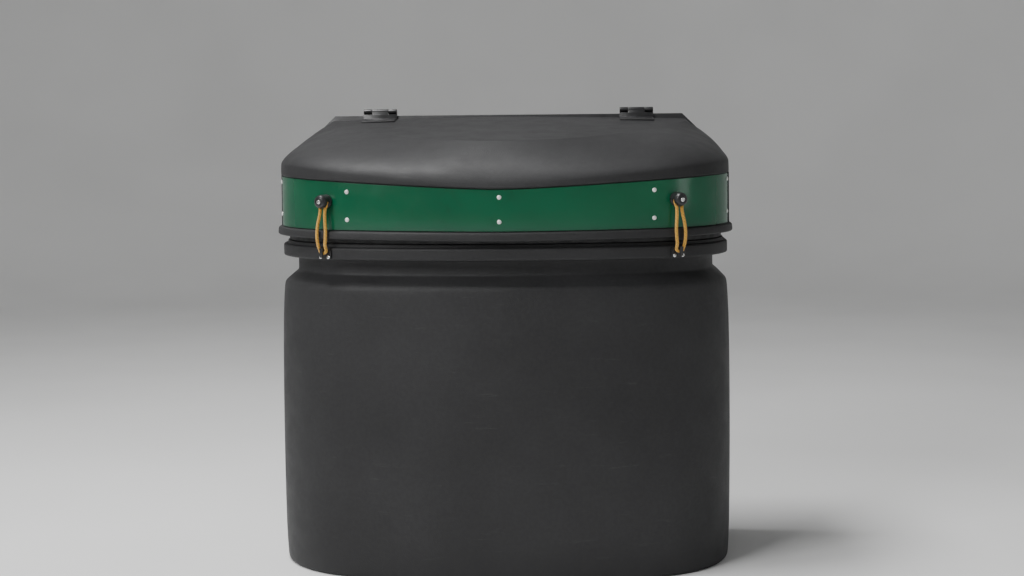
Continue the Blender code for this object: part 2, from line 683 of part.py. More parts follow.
# ---- latches ----
def build_latch(side, black, screw, cord):
    tag = "r" if side > 0 else "l"
    org = (0, AXIS_Y, AXIS_Z)
    base, n = on_front(side * KNOB_X, 0.0050)
    base.z = KNOB_Z
    profile = [(0.0024, 0.0), (0.0112, 0.0), (0.0116, 0.0008), (0.0114, 0.0044), (0.0106, 0.0056), (0.0042, 0.0060),
               (0.0040, 0.0124), (0.0106, 0.0125), (0.0112, 0.0134), (0.0110, 0.0168), (0.0094, 0.0208),
               (0.0066, 0.0228), (0.0048, 0.0228), (0.0046, 0.0212), (0.0024, 0.0212)]
    knob = lathe("latch_knob_" + tag, profile, black, base, n, 20, org)
    # a guard over the top half keeps the cord on the waist
    turns = [math.pi * k / 10 for k in range(11)]
    guard = [(0.0112 * math.cos(a), 0.0112 * math.sin(a)) for a in turns]
    guard += [(0.0101 * math.cos(a), 0.0101 * math.sin(a)) for a in reversed(turns)]
    combine(knob, prism("guard", guard, 0.0050, 0.0130, black, frame_to(n, base), (), org), "UNION")
    head = [(0, 0.0004), (0.0019, 0.0004), (0.0019, 0.0215), (0.0038, 0.0215), (0.0036, 0.0230), (0.0020, 0.0238),
            (0, 0.0239)]
    lathe("knob_screw_" + tag, head, screw, base, n, 8, org)
    # cord loop round the knob's waist and under the hook
    across = Vector((0, 0, 1)).cross(n).normalized()
    top = 0.0092
    rim, hn = on_front(side * HOOK_X, RIM_D)
    centre = base + n * top
    out = []
    for k in range(7):
        a = math.pi * k / 6
        out.append(centre + across * (-0.0071 * math.cos(a)) + Vector((0, 0, 0.0071 * math.sin(a))))
    leg = [(0.0064, -0.0060, 0.0), (0.0046, -0.0135, 0.0006), (0.0052, -0.0240, 0.0016), (0.0072, -0.0370, 0.0026),
           (0.0084, -0.0500, 0.0026), (0.0080, -0.0620, 0.0020), (0.0068, -0.0710, 0.0006)]
    lean = (rim - base).dot(across)
    right = [centre + across * (u + lean * v / -0.0795) + Vector((0, 0, v)) + n * w for u, v, w in leg]
    left = [centre + across * (-u + lean * v / -0.0795) + Vector((0, 0, v)) + n * w for u, v, w in leg]
    bight = rim + hn * 0.0062
    low = []
    for k in range(7):
        a = math.pi * k / 6
        low.append(bight + across * (0.0062 * math.cos(a)) + Vector((0, 0, HOOK_Z - 0.0048 * math.sin(a))))
    pts = spline(out + right + low + list(reversed(left)), 2, True)
    loop_org = centre
    tube("shock_cord_" + tag, pts, CORD_R, cord, 6, True, n, loop_org)
    # hook: a plate on the rim with a tongue that opens downwards
    m = frame_to(hn, (rim.x, rim.y, 0))
    plate = prism("lashing_hook_" + tag, round_rect(-0.0130, 0.5258, 0.0130, 0.5415, 0.004), 0.0003, 0.0024, black, m)
    root = prism("root", round_rect(-0.0032, 0.5396, 0.0032, 0.5440, 0.001, 1), 0.0006, 0.0120, black, m)
    tongue = prism("tongue", round_rect(-0.0028, 0.5285, 0.0028, 0.5430, 0.0012, 2), 0.0098, 0.0124, black, m)
    combine(root, tongue, "UNION")
    combine(plate, root, "UNION")
    for k in (-1, 1):
        tool = lathe("t", [(0, -0.001), (0.0022, -0.001), (0.0022, 0.006), (0, 0.006)], black,
                     m @ Vector((k * 0.0077, 0.5292, 0)), hn, 12)
        combine(plate, tool, "DIFFERENCE")
        small = [(0, 0.0004), (0.0018, 0.0004), (0.0018, 0.0026), (0.0030, 0.0026), (0.0028, 0.0036), (0, 0.0041)]
        name = "hook_screw_%s%s" % (tag, "a" if k < 0 else "b")
        lathe(name, small, screw, m @ Vector((k * 0.0077, 0.5292, 0)), hn, 8, None, 50)


# ---- cylinders ----
def build_cylinder(side, steel, brass, plastic):
    tag = "r" if side > 0 else "l"
    at = (side * TANK_X, TANK_Y, TANK_Z)
    r = TANK_R
    dome = [(r, 0.400), (r * 0.985, 0.4225), (r * 0.93, 0.4440), (r * 0.82, 0.4640), (r * 0.65, 0.4800),
            (r * 0.42, 0.4895), (0.020, 0.4940), (0.020, 0.5020), (0.0108, 0.5020)]
    t = SHEET
    inside = [(0.0108, 0.4890), (r * 0.42, 0.4895 - t), (r * 0.65, 0.4800 - t), (r * 0.82 - t * 0.5, 0.4640 - t),
              (r * 0.93 - t * 0.8, 0.4440 - t * 0.6), (r - t, 0.400), (r - t, 0.1240),
              (r * 0.82 - t * 0.5, 0.0600 + t * 1.5), (0.0900, 0.0470 + t), (0, 0.0330 + t)]
    foot = [(0, 0.0300), (r * 0.42, 0.0330), (r * 0.60, 0.0400), (0.1040, 0.0450), (0.1060, 0.0010), (0.1070, 0.0),
            (0.1110, 0.0), (0.1120, 0.0010), (0.1100, 0.0505), (r * 0.82, 0.0600), (r * 0.93, 0.0780),
            (r * 0.985, 0.1000), (r, 0.1240)]
    lathe("gas_tank_" + tag, foot + dome + inside, steel, at, (0, 0, 1), 20)
    # collar with an open front and two hand holes
    build_collar("tank_collar_" + tag, at, steel)
    valve = [(0, 0.4900), (0.0100, 0.4900), (0.0104, 0.4910), (0.0104, 0.5024), (0.0130, 0.5024), (0.0150, 0.5040),
             (0.0150, 0.5180), (0.0130, 0.5200), (0.0130, 0.5480), (0.0110, 0.5500), (0.0060, 0.5520), (0.0060, 0.5620), (0, 0.5620)]
    body = lathe("tank_valve_" + tag, valve, brass, at, (0, 0, 1), 16)
    port = lathe("port", [(0, 0), (0.0105, 0), (0.0105, 0.0340), (0, 0.0340)], brass,
                 (at[0], at[1], at[2] + 0.5340), (0, -1, 0), 16, at)
    combine(body, port, "UNION")
    wheel = []
    for k in range(36):
        a = 2 * math.pi * k / 36
        rr = 0.0270 + 0.0022 * math.cos(6 * a)
        wheel.append((rr * math.cos(a), rr * math.sin(a)))
    m = Matrix.Translation(at)
    hub = (at[0], at[1], at[2] + 0.570)
    wheel_ob = prism("valve_handwheel_" + tag, wheel, 0.5630, 0.5770, plastic, m, [circle(0.0064, 12)], hub)
    cap = lathe("cap", [(0, 0.5632), (0.0120, 0.5632), (0.0120, 0.5790), (0.0100, 0.5800), (0, 0.5800)], plastic, at,
                (0, 0, 1), 16, hub)
    combine(wheel_ob, cap, "UNION")
    nut = []
    for k in range(24):
        a = 2 * math.pi * k / 24
        nut.append(0.0175 + (0.0012 if k % 2 else 0.0))
    out = [(nut[k] * math.cos(2 * math.pi * k / 24), nut[k] * math.sin(2 * math.pi * k / 24)) for k in range(24)]
    m = frame_to((0, -1, 0), (at[0], at[1], at[2] + 0.5340))
    n_ob = prism("hose_nut_" + tag, out, 0.0180, 0.0440, plastic, m, [circle(0.0108, 16)])
    end = lathe("end", [(0, 0.0345), (0.0150, 0.0345), (0.0150, 0.0500), (0.0080, 0.0560), (0, 0.0560)], plastic,
                (at[0], at[1], at[2] + 0.5340), (0, -1, 0), 16, (0, 0, 0))
    combine(n_ob, end, "UNION")


def build_collar(name, at, look):
    """Guard ring on the tank's shoulder: a bent plate, open at the front, with two hand holes."""
    start, span, n = math.radians(-90 + 52), math.radians(360 - 104), 24
    levels = (0.4855, 0.500, 0.560, 0.596, 0.611, 0.615)
    r0, r1 = COLLAR_R - 0.0016, COLLAR_R + 0.0016
    cells = set()
    for i in range(n):
        for j in range(len(levels) - 1):
            hole = j == 2 and i in (5, 6, 7, 16, 17, 18)
            if not hole:
                cells.add((i, j))
    verts, idx = [], {}
    for i in range(n + 1):
        a = start + span * i / n
        for j, z in enumerate(levels):
            grow = 0.0025 if j == len(levels) - 1 else 0.0
            for s, r in enumerate((r0 - grow * 0.3, r1 + grow)):
                idx[i, j, s] = len(verts)
                verts.append((at[0] + r * math.cos(a), at[1] + r * math.sin(a), at[2] + z))
    faces = []
    for i, j in sorted(cells):
        q = [(i, j), (i + 1, j), (i + 1, j + 1), (i, j + 1)]
        faces.append(tuple(idx[a, b, 1] for a, b in q))
        faces.append(tuple(idx[a, b, 0] for a, b in reversed(q)))
        for (a, b), nb in zip(((q[0], q[1]), (q[1], q[2]), (q[2], q[3]), (q[3], q[0])),
                              ((i, j - 1), (i + 1, j), (i, j + 1), (i - 1, j))):
            if nb not in cells:
                faces.append((idx[b[0], b[1], 1], idx[a[0], a[1], 1], idx[a[0], a[1], 0], idx[b[0], b[1], 0]))
    used = sorted({v for f in faces for v in f})
    back = {v: k for k, v in enumerate(used)}
    make(name, [verts[v] for v in used], [tuple(back[v] for v in f) for f in faces], look)


# ---- hold-down and regulator ----
REG_Y = -0.052
REG_Z = 0.588
BAR_Z = 0.6200


def build_hold_down(steel, zinc):
    rod = [(0, 0.0045), (0.0090, 0.0045), (0.0095, 0.0055), (0.0095, 0.0150), (0.0062, 0.0160), (0.0062, 0.6830),
           (0.0050, 0.6840), (0, 0.6840)]
    lathe("hold_down_rod", rod, zinc, (0, TANK_Y, 0), (0, 0, 1), 12)
    bar = prism("hold_down_bar", round_rect(-0.0950, -0.020, 0.0950, 0.020, 0.006, 3), BAR_Z, BAR_Z + 0.005, steel,
                Matrix.Translation((0, TANK_Y, 0)), [circle(0.0068, 12)])
    for side in (-1, 1):
        lip = prism("lip", round_rect(side * 0.0835 - 0.0025, -0.0195, side * 0.0835 + 0.0025, 0.0195, 0.001, 1),
                    BAR_Z - 0.022, BAR_Z + 0.002, steel, Matrix.Translation((0, TANK_Y, 0)))
        combine(bar, lip, "UNION")
    z = BAR_Z + 0.0083
    lathe("hold_down_washer", [(0.0067, z), (0.0150, z), (0.0150, z + 0.002), (0.0067, z + 0.002)], zinc,
          (0, TANK_Y, 0), (0, 0, 1), 20)
    z += 0.0023
    org = (0, TANK_Y, z)
    hub = lathe("wing_nut", [(0.0066, z), (0.0125, z), (0.0110, z + 0.013), (0.0066, z + 0.013)], zinc,
                (0, TANK_Y, 0), (0, 0, 1), 20, org)
    for side in (-1, 1):
        m = frame_to((0, 1, 0), (0, TANK_Y, 0))
        wing = [(0.0100, z + 0.002), (0.0200, z + 0.005), (0.0290, z + 0.015), (0.0280, z + 0.022), (0.0220, z + 0.0235),
                (0.0150, z + 0.016), (0.0095, z + 0.0115)]
        wing = [(-side * x, h) for x, h in wing]
        part = prism("wing", wing, -0.0022, 0.0022, zinc, m, (), org)
        combine(hub, part, "UNION")


def build_regulator(grey, red, zinc, rubber, brass):
    z = BAR_Z + 0.0053
    plate = bar_x("regulator_bracket", -0.0200, 0.0200,
                  [(0.0385, z), (0.0385, z + 0.0026), (-0.0180, z + 0.0026), (-0.0180, 0.5700), (-0.0154, 0.5700),
                   (-0.0154, z)], zinc, (0, 0, 0))
    tool = lathe("t", [(0, 0.60), (0.0068, 0.60), (0.0068, 0.66), (0, 0.66)], zinc, (0, TANK_Y, 0), (0, 0, 1), 12)
    combine(plate, tool, "DIFFERENCE")
    body = prism("regulator_body", round_rect(-0.0360, REG_Y - 0.0310, 0.0360, -0.0184, 0.010, 4), 0.5720, 0.6040, grey)
    for s in (-1, 1):
        port = lathe("p", [(0, 0.030), (0.0090, 0.030), (0.0090, 0.0460), (0.0070, 0.0480), (0, 0.0480)], grey,
                     (0, REG_Y, REG_Z), (s, 0, 0), 16, (0, 0, 0))
        combine(body, port, "UNION")
    port = lathe("p", [(0, 0.5600), (0.0110, 0.5600), (0.0110, 0.5760), (0, 0.5760)], grey, (0, REG_Y - 0.008, 0),
                 (0, 0, 1), 16, (0, 0, 0))
    combine(body, port, "UNION")
    bonnet = [(0, 0.6043), (0.0330, 0.6043), (0.0340, 0.6055), (0.0340, 0.6100), (0.0320, 0.6120), (0.0240, 0.6190),
              (0.0130, 0.6220), (0.0130, 0.6260), (0, 0.6260)]
    lathe("regulator_bonnet", bonnet, grey, (0, REG_Y, 0), (0, 0, 1), 20)
    org = (0, REG_Y, 0.6300)
    lever = lathe("changeover_lever", [(0, 0.6263), (0.0120, 0.6263), (0.0120, 0.6380), (0.0100, 0.6400), (0, 0.6400)],
                  red, (0, REG_Y, 0), (0, 0, 1), 20, org)
    arm = prism("arm", [(0.004, -0.0055), (-0.0260, -0.0040), (-0.0285, 0.0), (-0.0260, 0.0040), (0.004, 0.0055)],
                0.6300, 0.6375, red, Matrix.Translation((0, REG_Y, 0)), (), org)
    combine(lever, arm, "UNION")
    hose = spline([(0, REG_Y - 0.008, 0.5596), (0, REG_Y - 0.008, 0.530), (0, -0.0605, 0.470), (0, -0.0605, 0.250),
                   (0, -0.0600, 0.060), (0, -0.0600, 0.0010)], 4)
    tube("outlet_hose", hose, 0.0080, rubber, 10)


def build_pigtail(side, rubber):
    tag = "r" if side > 0 else "l"
    z = TANK_Z + 0.5340
    pts = [(side * TANK_X, TANK_Y - 0.0563, z), (side * TANK_X, TANK_Y - 0.0720, z + 0.0005),
           (side * (TANK_X - 0.006), -0.0800, z + 0.004), (side * 0.140, -0.1060, z + 0.016),
           (side * 0.108, -0.1130, z + 0.034), (side * 0.082, -0.0960, z + 0.046),
           (side * 0.068, -0.0640, z + 0.0500), (side * 0.058, REG_Y - 0.0010, REG_Z), (side * 0.0483, REG_Y, REG_Z)]
    tube("pigtail_hose_" + tag, spline(pts, 3), 0.0052, rubber, 8)


def build_panel_bolts(zinc):
    for k, (x, z) in enumerate(((-0.300, 0.485), (-0.100, 0.485), (0.100, 0.485), (0.300, 0.485))):
        profile = [(0, PANEL_Y[1] + 0.0003), (0.0075, PANEL_Y[1] + 0.0003), (0.0070, PANEL_Y[1] + 0.0022),
                   (0.0045, PANEL_Y[1] + 0.0036), (0, PANEL_Y[1] + 0.0039)]
        lathe("panel_bolt_%d" % (k + 1), profile, zinc, (x, 0, z), (0, 1, 0), 10, (x, PANEL_Y[1], z), 50)


def build():
    clear_scene()
    shell = ((0.045, 0.046, 0.048), 0.0, 0.62)
    black = ((0.018, 0.018, 0.019), 0.0, 0.42)
    green = ((0.022, 0.125, 0.065), 0.1, 0.30)
    alu = ((0.80, 0.80, 0.79), 1.0, 0.30)
    zinc = ((0.62, 0.62, 0.60), 1.0, 0.38)
    amber = ((0.75, 0.42, 0.07), 0.0, 0.75)
    white = ((0.78, 0.78, 0.76), 0.0, 0.40)
    brass = ((0.72, 0.53, 0.24), 1.0, 0.35)
    rubber = ((0.020, 0.020, 0.020), 0.0, 0.75)
    red = ((0.45, 0.03, 0.02), 0.0, 0.40)
    grey = ((0.42, 0.43, 0.44), 0.6, 0.45)
    ring_solid("body_shell", BODY_ROWS, shell, body_loop)
    build_tray(((0.10, 0.10, 0.10), 0.3, 0.55))
    build_panel(black)
    build_panel_bolts(zinc)
    build_gasket(rubber)
    build_lid(shell)
    build_band(green)
    spots = ((0.0, 0.6266, 0.5872), (0.248, 0.6355, 0.5905), (0.3750, 0.6485, 0.5945))
    k = 0
    for x, hi, lo in spots:
        for s in ((1,) if x == 0 else (-1, 1)):
            for z in (hi, lo):
                k += 1
                rivet("band_rivet_%02d" % k, s * x, z, alu)
    for side in (-1, 1):
        build_hinge(side, black, zinc)
        build_latch(side, black, alu, amber)
        build_cylinder(side, white, brass, black)
        build_pigtail(side, rubber)
    build_hold_down(zinc, alu)
    build_regulator(grey, red, zinc, rubber, brass)


build()
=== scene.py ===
"""Looks of a gas cylinder housing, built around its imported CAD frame. Metres, +Z up, front towards -Y."""
import json
import math

import bpy
import bmesh
from mathutils import Matrix, Vector


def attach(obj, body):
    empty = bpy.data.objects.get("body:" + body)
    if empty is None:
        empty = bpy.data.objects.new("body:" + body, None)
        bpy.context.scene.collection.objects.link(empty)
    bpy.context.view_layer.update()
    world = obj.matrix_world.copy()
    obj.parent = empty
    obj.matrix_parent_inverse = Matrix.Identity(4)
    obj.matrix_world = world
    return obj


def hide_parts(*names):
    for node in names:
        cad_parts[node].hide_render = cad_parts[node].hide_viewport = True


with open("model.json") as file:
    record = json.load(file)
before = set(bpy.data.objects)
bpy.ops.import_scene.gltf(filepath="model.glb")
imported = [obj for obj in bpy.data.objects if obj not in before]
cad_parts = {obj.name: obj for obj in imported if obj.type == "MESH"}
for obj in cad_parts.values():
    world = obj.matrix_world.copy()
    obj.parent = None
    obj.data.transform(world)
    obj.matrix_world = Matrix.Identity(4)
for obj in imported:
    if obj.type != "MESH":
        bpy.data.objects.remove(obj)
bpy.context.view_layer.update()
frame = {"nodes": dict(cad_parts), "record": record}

# ---- driving sizes, the same as the CAD's ----
HALF_W = 0.385  # half the width at the sides
FRONT_Y, BOW_R = -0.195, 0.932  # the bowed front
JOIN_X = 0.252  # where the bow meets the corner's round
JOIN = math.asin(JOIN_X / BOW_R)
CORNER_R = (HALF_W - JOIN_X) / (1 - JOIN_X / BOW_R)
CORNER_CX = HALF_W - CORNER_R
CORNER_CY = FRONT_Y + BOW_R * (1 - math.cos(JOIN)) + CORNER_R * math.cos(JOIN)
LID_BACK_Y, BODY_BACK_Y = 0.1855, 0.1880
BACK_R = 0.020  # the case's back corners
# heights of the lid's lines at the front's middle and at the sides
SKIRT_Z = (0.5560, 0.5605)
LEDGE_Z = (0.5705, 0.5735)
BAND_TOP = (0.6390, 0.6585)
HOOD_Z = (0.6460, 0.6805)
BACK_RISE = 0.0145  # how much higher the hood's foot is at the back
DECK_FRONT, DECK_Z, DECK_SLOPE = -0.111, 0.716, 0.1376
DECK_CROWN = 0.0060  # how much lower the deck is at its sides
CREASE_X, CREASE_Y = 0.317, 0.150  # the deck's corner
WALL = 0.004
FLARE = 0.0026  # how far the lid's skirt stands out
RIM_D = 0.0062  # the case rim's inset from the lid's outline
AXIS_Y, AXIS_Z = 0.1895, 0.7670  # hinge line
HINGE_X, HINGE_L = 0.231, 0.060
PANEL_Y = 0.1913  # the back panel's outer face
PANEL_BOLT_Z = 0.485
KNOB_X, KNOB_Z = 0.2830, 0.620
HOOK_X, HOOK_Z = 0.2866, 0.5405
HOOK_SCREW_X, HOOK_SCREW_Z = 0.0077, 0.5292
CORD_R = 0.0027
CORD_OUT, CORD_TURN_R = 0.0092, 0.0071  # the loop's height on the knob, and its turn round the waist
TANK_X, TANK_Y, TANK_Z = 0.165, 0.020, 0.0045
TANK_R, SHEET = 0.155, 0.0026
REG_Y, REG_Z = -0.052, 0.588
ROD_TOP, THREAD_FROM, THREAD_PITCH, THREAD_TURNS = 0.6840, 0.6030, 0.00195, 41

# ---- camera, in millimetres and degrees where it isn't metres ----
LENS, SENSOR = 59.765625, 36.0
CAM_TURN, CAM_YAW, CAM_PITCH, CAM_ROLL = 2.5, -0.23593, -5.477, -0.5
CAM_AWAY, CAM_Z = 2.895, 0.741


# ---- materials ----
class Look:
    """A node material under construction, in object coordinates (metres in the frame)."""

    def __init__(self, name, base, rough, metallic=0.0, coat=0.0, coat_rough=0.1, specular=0.5):
        self.mat = bpy.data.materials.new(name)
        self.mat.use_nodes = True
        self.tree = self.mat.node_tree
        self.bsdf = self.tree.nodes["Principled BSDF"]
        self.base, self.rough = base, rough
        for key, value in (("Base Color", (*base, 1)), ("Roughness", rough), ("Metallic", metallic),
                           ("Coat Weight", coat), ("Coat Roughness", coat_rough),
                           ("Specular IOR Level", specular)):
            self.bsdf.inputs[key].default_value = value
        self.coord = self.node("ShaderNodeTexCoord").outputs["Object"]
        self.colour = None
        self.height = None

    def node(self, kind, **values):
        n = self.tree.nodes.new(kind)
        for key, value in values.items():
            setattr(n, key, value)
        return n

    def feed(self, socket, value):
        if hasattr(value, "is_linked"):
            self.tree.links.new(value, socket)
        else:
            socket.default_value = value

    def math(self, op, a, b=0.0):
        n = self.node("ShaderNodeMath", operation=op)
        self.feed(n.inputs[0], a)
        self.feed(n.inputs[1], b)
        return n.outputs[0]

    def scaled(self, scale, turn=(0, 0, 0)):
        n = self.node("ShaderNodeMapping")
        n.inputs["Scale"].default_value = scale
        n.inputs["Rotation"].default_value = turn
        self.feed(n.inputs["Vector"], self.coord)
        return n.outputs[0]

    def noise(self, scale, detail=2.0, rough=0.5, coord=None):
        n = self.node("ShaderNodeTexNoise")
        n.inputs["Scale"].default_value = scale
        n.inputs["Detail"].default_value = detail
        n.inputs["Roughness"].default_value = rough
        self.feed(n.inputs["Vector"], coord or self.coord)
        return n.outputs["Fac"]

    def cells(self, scale, feature="F1", out="Distance"):
        n = self.node("ShaderNodeTexVoronoi", feature=feature)
        n.inputs["Scale"].default_value = scale
        self.feed(n.inputs["Vector"], self.coord)
        return n.outputs[out]

    def span(self, value, lo, hi, a=0.0, b=1.0):
        n = self.node("ShaderNodeMapRange", interpolation_type="SMOOTHSTEP")
        for k, v in enumerate((value, lo, hi, a, b)):
            self.feed(n.inputs[k], v)
        return n.outputs[0]

    def split(self, coord):
        n = self.node("ShaderNodeSeparateXYZ")
        self.feed(n.inputs[0], coord)
        return n.outputs

    def tint(self, fac, other, most=1.0):
        """Blend another colour in where fac is 1."""
        n = self.node("ShaderNodeMix", data_type="RGBA")
        self.feed(n.inputs["Factor"], self.math("MULTIPLY", fac, most))
        self.feed(n.inputs["A"], self.colour or (*self.base, 1))
        self.feed(n.inputs["B"], (*other, 1))
        self.colour = n.outputs["Result"]
        return self

    def shade(self, fac, lo=0.8, hi=1.2):
        """Scale the colour between lo and hi as fac runs from 0 to 1."""
        gain = self.span(fac, 0.3, 0.7, lo, hi)
        n = self.node("ShaderNodeVectorMath", operation="SCALE")
        self.feed(n.inputs[0], self.colour or tuple(self.base))
        self.feed(n.inputs["Scale"], gain)
        self.colour = n.outputs[0]
        return self

    def matt(self, fac, lo, hi):
        self.feed(self.bsdf.inputs["Roughness"], self.span(fac, 0.3, 0.7, lo, hi))
        return self

    def relief(self, height, depth):
        """Add a height field; depth is its range in metres."""
        n = self.node("ShaderNodeBump")
        n.inputs["Strength"].default_value = 1.0
        n.inputs["Distance"].default_value = depth
        self.feed(n.inputs["Height"], height)
        if self.height:
            self.feed(n.inputs["Normal"], self.height)
        self.height = n.outputs["Normal"]
        return self

    def done(self):
        if self.colour:
            self.feed(self.bsdf.inputs["Base Color"], self.colour)
        if self.height:
            self.feed(self.bsdf.inputs["Normal"], self.height)
        return self.mat


def shell_look(name, base, foot):
    """Rotomoulded plastic: a fine pebble, slow tone changes, painted shade darkening the foot when foot is
    set, faint rubs.
    """
    k = Look(name, base, 0.5, specular=0.28)
    k.shade(k.noise(5.0, 3.0, 0.55), 0.88, 1.14)
    k.shade(k.noise(160.0, 2.0), 0.93, 1.08)
    rub = k.noise(14.0, 6.0, 0.72, k.scaled((1.0, 1.0, 7.0), (0.0, 0.35, 0.0)))
    k.tint(k.span(rub, 0.60, 0.74), (0.085, 0.085, 0.083), 0.22)
    speck = k.cells(240.0)
    k.tint(k.span(speck, 0.10, 0.05), (0.15, 0.15, 0.145), 0.10)
    # painted shade: with foot set, the colour darkens towards the bottom (from 75 mm down, darkest by 30 mm),
    # standing in for the shade where the case's lower wall tilts inwards
    if foot:
        low = k.span(k.split(k.coord)[2], 0.075, 0.03)
        k.tint(low, (0.020, 0.020, 0.021), 0.55)
    k.matt(k.noise(22.0, 4.0, 0.6), 0.50, 0.60)
    k.relief(k.noise(26.0, 2.0), 0.0006)
    k.relief(k.cells(620.0, "SMOOTH_F1"), 0.00022)
    k.relief(k.noise(1500.0, 2.0), 0.00010)
    return k.done()


def paint_look(name, base, rough, peel, dirt, amount, coat=0.0, metallic=0.0):
    """Painted metal: orange peel, slow tone changes, a little settled dirt."""
    k = Look(name, base, rough, metallic, coat, 0.12)
    k.shade(k.noise(7.0, 3.0), 0.92, 1.08)
    k.tint(k.span(k.noise(30.0, 7.0, 0.7), 0.56, 0.74), dirt, amount)
    k.matt(k.noise(40.0, 4.0, 0.6), rough * 0.85, min(1.0, rough * 1.2))
    k.relief(k.noise(520.0, 2.0), peel)
    return k.done()


def metal_look(name, base, rough, dull=(0.25, 0.25, 0.25), amount=0.35):
    """Bare or plated metal, dulled in patches."""
    k = Look(name, base, rough, 1.0)
    k.tint(k.span(k.noise(45.0, 6.0, 0.7), 0.52, 0.72), dull, amount)
    k.shade(k.cells(420.0, out="Color"), 0.95, 1.05)
    k.matt(k.noise(260.0, 4.0, 0.6), rough * 0.7, min(1.0, rough * 1.35))
    k.relief(k.noise(780.0), 0.00004)
    return k.done()


def plastic_look(name, base, rough):
    """Moulded nylon: a fine grain and a little settled dust."""
    k = Look(name, base, rough)
    k.shade(k.noise(60.0, 4.0), 0.85, 1.2)
    k.tint(k.span(k.noise(90.0, 7.0, 0.75), 0.60, 0.75), (0.14, 0.135, 0.125), 0.22)
    k.matt(k.noise(120.0, 3.0), rough * 0.8, rough * 1.25)
    k.relief(k.noise(700.0), 0.00005)
    return k.done()


def rubber_look(name):
    """Dull rubber with dust in patches."""
    k = Look(name, (0.020, 0.020, 0.021), 0.66)
    k.tint(k.span(k.noise(50.0, 7.0, 0.7), 0.54, 0.74), (0.10, 0.095, 0.088), 0.35)
    k.matt(k.noise(70.0, 3.0), 0.55, 0.80)
    k.relief(k.noise(900.0, 2.0), 0.00008)
    return k.done()


def cord_look(name):
    """Braided elastic cord: two crossing helices in UV, amber with dark flecks, and painted shade in the
    grooves between the strands.
    """
    k = Look(name, (0.78, 0.40, 0.030), 0.70)
    u, v, _ = k.split(k.node("ShaderNodeUVMap", uv_map="along").outputs[0])
    along = k.math("MULTIPLY", u, 2 * math.pi * 330)
    strands = [k.math("SINE", k.math("ADD", along, k.math("MULTIPLY", v, sign * 2 * math.pi * 6)))
               for sign in (1, -1)]
    high = k.math("MAXIMUM", *strands)
    both = k.math("MULTIPLY", *strands)
    # painted shade: the colour darkens where neither strand is high, standing in for the shade in the braid's
    # grooves
    k.tint(k.span(high, 0.45, -0.1), (0.10, 0.045, 0.008), 0.60)
    fleck = k.math("FRACT", k.math("ADD", k.math("MULTIPLY", u, 165.0), k.math("MULTIPLY", v, 2.0)))
    k.tint(k.math("MULTIPLY", k.span(fleck, 0.74, 0.80), k.span(both, -0.2, 0.3)), (0.05, 0.035, 0.02), 0.8)
    k.shade(k.noise(900.0, 3.0), 0.82, 1.15)
    k.relief(high, 0.00035)
    k.relief(k.noise(4000.0, 2.0), 0.00005)
    k.bsdf.inputs["Sheen Weight"].default_value = 0.35
    return k.done()


SHELL = (0.023, 0.023, 0.024)
STEEL_DIRT = (0.12, 0.115, 0.11)
LOOKS = {
    "case_plastic": shell_look("case_moulded_plastic_painted_foot_shade", SHELL, True),
    "lid_plastic": shell_look("lid_moulded_plastic", SHELL, False),
    "band_paint": paint_look("band_green_enamel", (0.001, 0.084, 0.037), 0.20, 0.00002, (0.004, 0.030, 0.016),
                             0.2),
    "rivet_metal": paint_look("rivet_pale", (0.80, 0.80, 0.78), 0.34, 0.00004, (0.45, 0.44, 0.42), 0.25,
                              metallic=0.35),
    "cord_weave": cord_look("cord_braid_painted_groove_shade"),
    "latch_black": plastic_look("latch_black_nylon", (0.014, 0.014, 0.015), 0.34),
    "screw_metal": metal_look("screw_stainless", (0.80, 0.80, 0.79), 0.22, amount=0.2),
    "pin_metal": metal_look("pin_steel", (0.55, 0.55, 0.54), 0.30),
    "hinge_black": paint_look("hinge_black_powder", (0.016, 0.016, 0.017), 0.36, 0.00009, STEEL_DIRT, 0.25,
                              0.1),
    "panel_black": paint_look("panel_black_powder", (0.014, 0.014, 0.015), 0.46, 0.00008,
                              (0.09, 0.087, 0.082), 0.25),
    "bolt_metal": metal_look("bolt_zinc", (0.62, 0.62, 0.60), 0.34),
    "tank_paint": paint_look("tank_white_powder", (0.74, 0.74, 0.71), 0.42, 0.00010, (0.42, 0.40, 0.36),
                             0.35, 0.1),
    "valve_brass": metal_look("valve_brass", (0.74, 0.52, 0.22), 0.30, dull=(0.30, 0.19, 0.08)),
    "valve_plastic": plastic_look("valve_black_plastic", (0.016, 0.016, 0.017), 0.42),
    "regulator_metal": paint_look("regulator_cast_grey", (0.33, 0.34, 0.35), 0.48, 0.00020,
                                  (0.14, 0.14, 0.14), 0.35, metallic=0.5),
    "lever_red": plastic_look("lever_red_plastic", (0.42, 0.020, 0.012), 0.36),
    "zinc_metal": metal_look("zinc_plate", (0.62, 0.62, 0.59), 0.36, amount=0.45),
    "hose_rubber": rubber_look("hose_rubber"),
    "seal_rubber": rubber_look("seal_rubber"),
    "tray_metal": paint_look("tray_black_paint", (0.030, 0.030, 0.031), 0.5, 0.00010, (0.12, 0.11, 0.10),
                             0.5),
}
SLOT = {row["node"]: row["material_slot"] for row in frame["record"]["subparts"]}
BODY = {n: b for b, nodes in frame["record"]["behaviour"]["bodies"].items() for n in nodes}


# ---- mesh helpers ----
UP = Vector((0, 0, 1))
TINY = 1e-7
WELD = 0.00002


def finish_mesh(name, mesh, node, angle=32, also=()):
    """Put a finer mesh in place of a CAD node, on its body, with its material."""
    mesh.materials.clear()
    mesh.materials.append(LOOKS[SLOT[node]])
    for p in mesh.polygons:
        p.use_smooth = True
        p.material_index = 0
    mesh.set_sharp_from_angle(angle=math.radians(angle))
    ob = bpy.data.objects.new(name, mesh)
    bpy.context.scene.collection.objects.link(ob)
    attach(ob, BODY[node])
    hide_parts(node, *also)
    return ob


